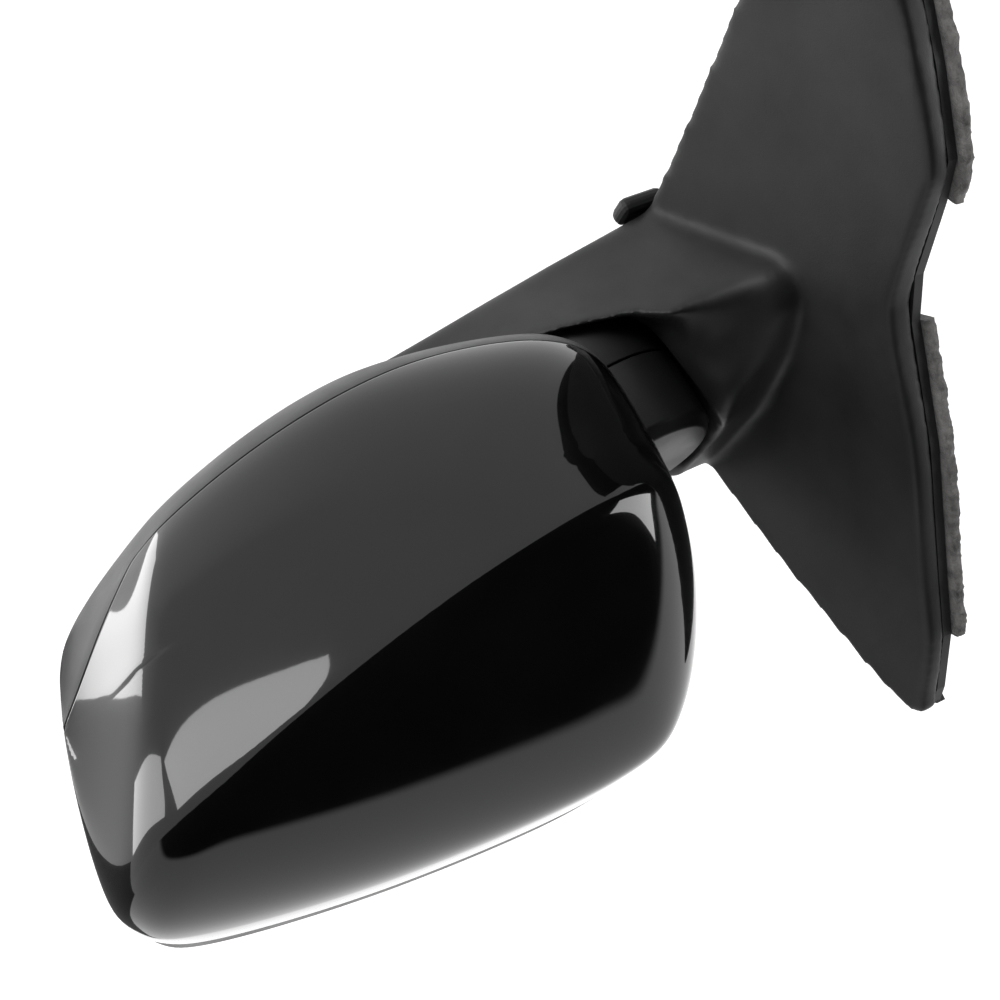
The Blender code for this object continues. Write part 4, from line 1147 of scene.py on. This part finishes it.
@dataclass
class Studio:
    """Camera, floor, surround, soft light and dark cards, in metres."""

    azimuth: float = 30.0
    elevation: float = 16.0
    roll: float = 211.0
    target: tuple = (0.144, -0.027, 0.054)
    distance: float = 0.9
    lens: float = 92.7
    floor_z: float = -2.6
    floor_size: float = 30.0
    floor_glow: float = 0.62
    surround_light: float = 1.3
    front_shade: Shade = Shade((0.0, -1.0, 0.0), 86.0, 90.5, 0.012)
    lamps: tuple = (
        Lamp("outer end strip", (0.66, -0.55, -0.48), 3.0, (2.5, 0.9), 8.0),
        Lamp("outer rear strip", (0.82, 0.22, -0.50), 3.0, (2.2, 0.8), 7.0),
        Lamp("low corner", (0.38, 0.46, -0.80), 2.9, (0.9, 1.3), 6.0, 20.0),
        Lamp("neck side", (-0.83, -0.45, 0.36), 1.5, (0.9, 0.55), 7.0),
    )
    cards: tuple = (
        Lamp("rear card", (0.42, 0.90, -0.10), 1.5, (1.5, 0.8), 0.12),
        Lamp("low door-side card", (-0.80, -0.38, -0.47), 1.2, (1.3, 0.46), 0.0),
    )

    def axes(self) -> tuple[Vector, Vector, Vector]:
        """Right, up and back of the camera, in the row frame."""
        a, e, roll = map(math.radians, (self.azimuth, self.elevation, self.roll))
        back = Vector((math.sin(a) * math.cos(e), -math.cos(a) * math.cos(e), math.sin(e)))
        level = Vector((math.cos(a), math.sin(a), 0))
        upright = back.cross(level)
        right = math.cos(roll) * level - math.sin(roll) * upright
        up = math.sin(roll) * level + math.cos(roll) * upright
        return right, up, back

    def build(self) -> None:
        """Set the camera, the floor, the world and every lamp."""
        self._camera()
        self._world()
        self._floor()
        aim = Vector(self.target)
        for lamp in self.lamps:
            self._softbox(lamp, aim)
        for card in self.cards:
            self._card(card, aim)

    def _camera(self) -> None:
        """Make the camera."""
        right, up, back = self.axes()
        data = bpy.data.cameras.new("view")
        data.lens, data.sensor_width = self.lens, 36.0
        data.clip_start, data.clip_end = 0.01, 20.0
        camera = bpy.data.objects.new("view", data)
        bpy.context.scene.collection.objects.link(camera)
        turn = Matrix((right, up, back)).transposed().to_4x4()
        camera.matrix_world = Matrix.Translation(Vector(self.target) + back * self.distance) @ turn
        bpy.context.scene.camera = camera

    def _world(self) -> None:
        """A pale surround that is nearly black in front, as a wide black card would make it."""
        world = bpy.data.worlds.new("studio")
        world.use_nodes = True
        tree, shade = world.node_tree, self.front_shade
        coords = tree.nodes.new("ShaderNodeTexCoord")
        dot = tree.nodes.new("ShaderNodeVectorMath")
        dot.operation = "DOT_PRODUCT"
        dot.inputs[1].default_value = Vector(shade.direction).normalized()
        tree.links.new(coords.outputs["Generated"], dot.inputs[0])
        ease = tree.nodes.new("ShaderNodeMapRange")
        ease.interpolation_type = "SMOOTHSTEP"
        for key, number in (("From Min", math.cos(math.radians(shade.outer))),
                            ("From Max", math.cos(math.radians(shade.inner))),
                            ("To Min", self.surround_light),
                            ("To Max", self.surround_light * shade.light)):
            ease.inputs[key].default_value = number
        tree.links.new(dot.outputs["Value"], ease.inputs["Value"])
        surround = tree.nodes["Background"]
        surround.inputs["Color"].default_value = (1, 1, 1, 1)
        tree.links.new(ease.outputs["Result"], surround.inputs["Strength"])
        bpy.context.scene.world = world
        bpy.context.scene.view_settings.view_transform = "Standard"

    def _floor(self) -> None:
        """A plain pale floor well below the mirror."""
        bm = bmesh.new()
        bmesh.ops.create_grid(bm, x_segments=1, y_segments=1, size=self.floor_size / 2)
        bmesh.ops.translate(bm, vec=(0, 0, self.floor_z), verts=bm.verts)
        mesh = bpy.data.meshes.new("floor")
        bm.to_mesh(mesh)
        bm.free()
        floor = bpy.data.objects.new("floor", mesh)
        bpy.context.scene.collection.objects.link(floor)
        bench = NodeBench("pale floor")
        pale = [(0.2, (0.80, 0.80, 0.80)), (0.8, (0.84, 0.84, 0.84))]
        bench.link(bench.shades(bench.noise(2, 2), pale), bench.shader.inputs["Base Color"])
        bench.set(Roughness=0.9, Emission_Color=(1, 1, 1, 1), Emission_Strength=self.floor_glow)
        mesh.materials.append(bench.material)

    @staticmethod
    def _facing(lamp: Lamp, aim: Vector) -> Matrix:
        """The place and turn of a lamp or card that faces the mirror."""
        place = aim + Vector(lamp.direction).normalized() * lamp.distance
        turn = (aim - place).to_track_quat("-Z", "Y") @ Quaternion((0, 0, 1), math.radians(lamp.spin))
        return Matrix.Translation(place) @ turn.to_matrix().to_4x4()

    def _card(self, card: Lamp, aim: Vector) -> None:
        """Stand up a dark card that only shows in reflections.

        Args:
            card: Its facts; its brightness is its glow.
            aim: What it faces.
        """
        bm = bmesh.new()
        bmesh.ops.create_grid(bm, x_segments=1, y_segments=1, size=0.5)
        bmesh.ops.scale(bm, vec=(*card.size, 1.0), verts=bm.verts)
        bmesh.ops.transform(bm, matrix=self._facing(card, aim), verts=bm.verts)
        mesh = bpy.data.meshes.new(card.name)
        bm.to_mesh(mesh)
        bm.free()
        obj = bpy.data.objects.new(card.name.replace(" ", "_"), mesh)
        bpy.context.scene.collection.objects.link(obj)
        bench = NodeBench(card.name)
        bench.link(bench.shades(bench.noise(3, 2), [(0.2, (0.004,) * 3), (0.8, (0.006,) * 3)]),
                   bench.shader.inputs["Base Color"])
        bench.set(Roughness=1.0, Specular_IOR_Level=0.0, Emission_Color=(1, 1, 1, 1),
                  Emission_Strength=card.radiance)
        mesh.materials.append(bench.material)
        obj.visible_camera = False

    def _softbox(self, lamp: Lamp, aim: Vector) -> None:
        """Set up one rectangular area lamp.

        Args:
            lamp: Its facts.
            aim: What it points at.
        """
        data = bpy.data.lights.new(lamp.name, "AREA")
        data.shape, data.size, data.size_y = "RECTANGLE", *lamp.size
        data.energy = lamp.radiance * math.pi * lamp.size[0] * lamp.size[1]
        obj = bpy.data.objects.new(lamp.name, data)
        bpy.context.scene.collection.objects.link(obj)
        obj.matrix_world = self._facing(lamp, aim)
        obj.visible_camera = False


def make_finishes() -> dict[str, bpy.types.Material]:
    """Build every finish.

    Returns:
        Materials by short name.
    """
    grained = {
        "housing": GrainedPlastic("grained housing plastic", (0.030, 0.030, 0.0305),
                                  (0.048, 0.048, 0.049), 0.40),
        "sail": GrainedPlastic("grained sail plastic"),
        "neck": GrainedPlastic("satin neck plastic", roughness=0.38, grain_mm=0.03),
        "bezel": GrainedPlastic("bezel plastic", roughness=0.36, grain_mm=0.02),
        "inner": GrainedPlastic("glass-filled inner plastic", (0.016, 0.016, 0.017),
                                (0.032, 0.032, 0.034), 0.5),
        "rubber": GrainedPlastic("seal rubber", (0.012, 0.012, 0.012), (0.02, 0.02, 0.019),
                                 0.75, 900.0, 0.08),
        "nylon": GrainedPlastic("natural nylon", (0.62, 0.60, 0.52), (0.74, 0.72, 0.64),
                                0.4, 1200.0, 0.02),
    }
    metals = {
        "cast": MetalFinish("die-cast alloy", (0.33, 0.33, 0.34), (0.5, 0.5, 0.51), 0.42, 900.0, 0.08),
        "steel": MetalFinish("zinc-plated steel", (0.50, 0.50, 0.48), (0.66, 0.66, 0.63), 0.28),
        "brass": MetalFinish("turned brass", (0.66, 0.47, 0.19), (0.80, 0.61, 0.30), 0.22),
        "foil": MetalFinish("heater foil", (0.45, 0.36, 0.27), (0.62, 0.52, 0.41), 0.4),
    }
    made = {name: finish.build() for name, finish in {**grained, **metals}.items()}
    made["lacquer"] = GlossPaint().build()
    made["foam"] = FoamFinish().build()
    made["mirror"] = SilveredGlass().build()
    return made


def main() -> None:
    """Build every piece, dress the rest and light it."""
    logging.basicConfig(level=logging.INFO, format="%(message)s")
    finishes = make_finishes()
    shop = Workshop(finishes)
    head, door = HeadForm(), DoorForm()
    for piece in (HeadShells(head), NeckDrum(), GlassUnit(head), FootMoulding(door), FoamSeals(door)):
        piece.build(shop)
        log.info("made %s", type(piece).__name__)
    Dresser(finishes).dress(frame["nodes"])
    Studio().build()


if __name__ == "__main__":
    main()
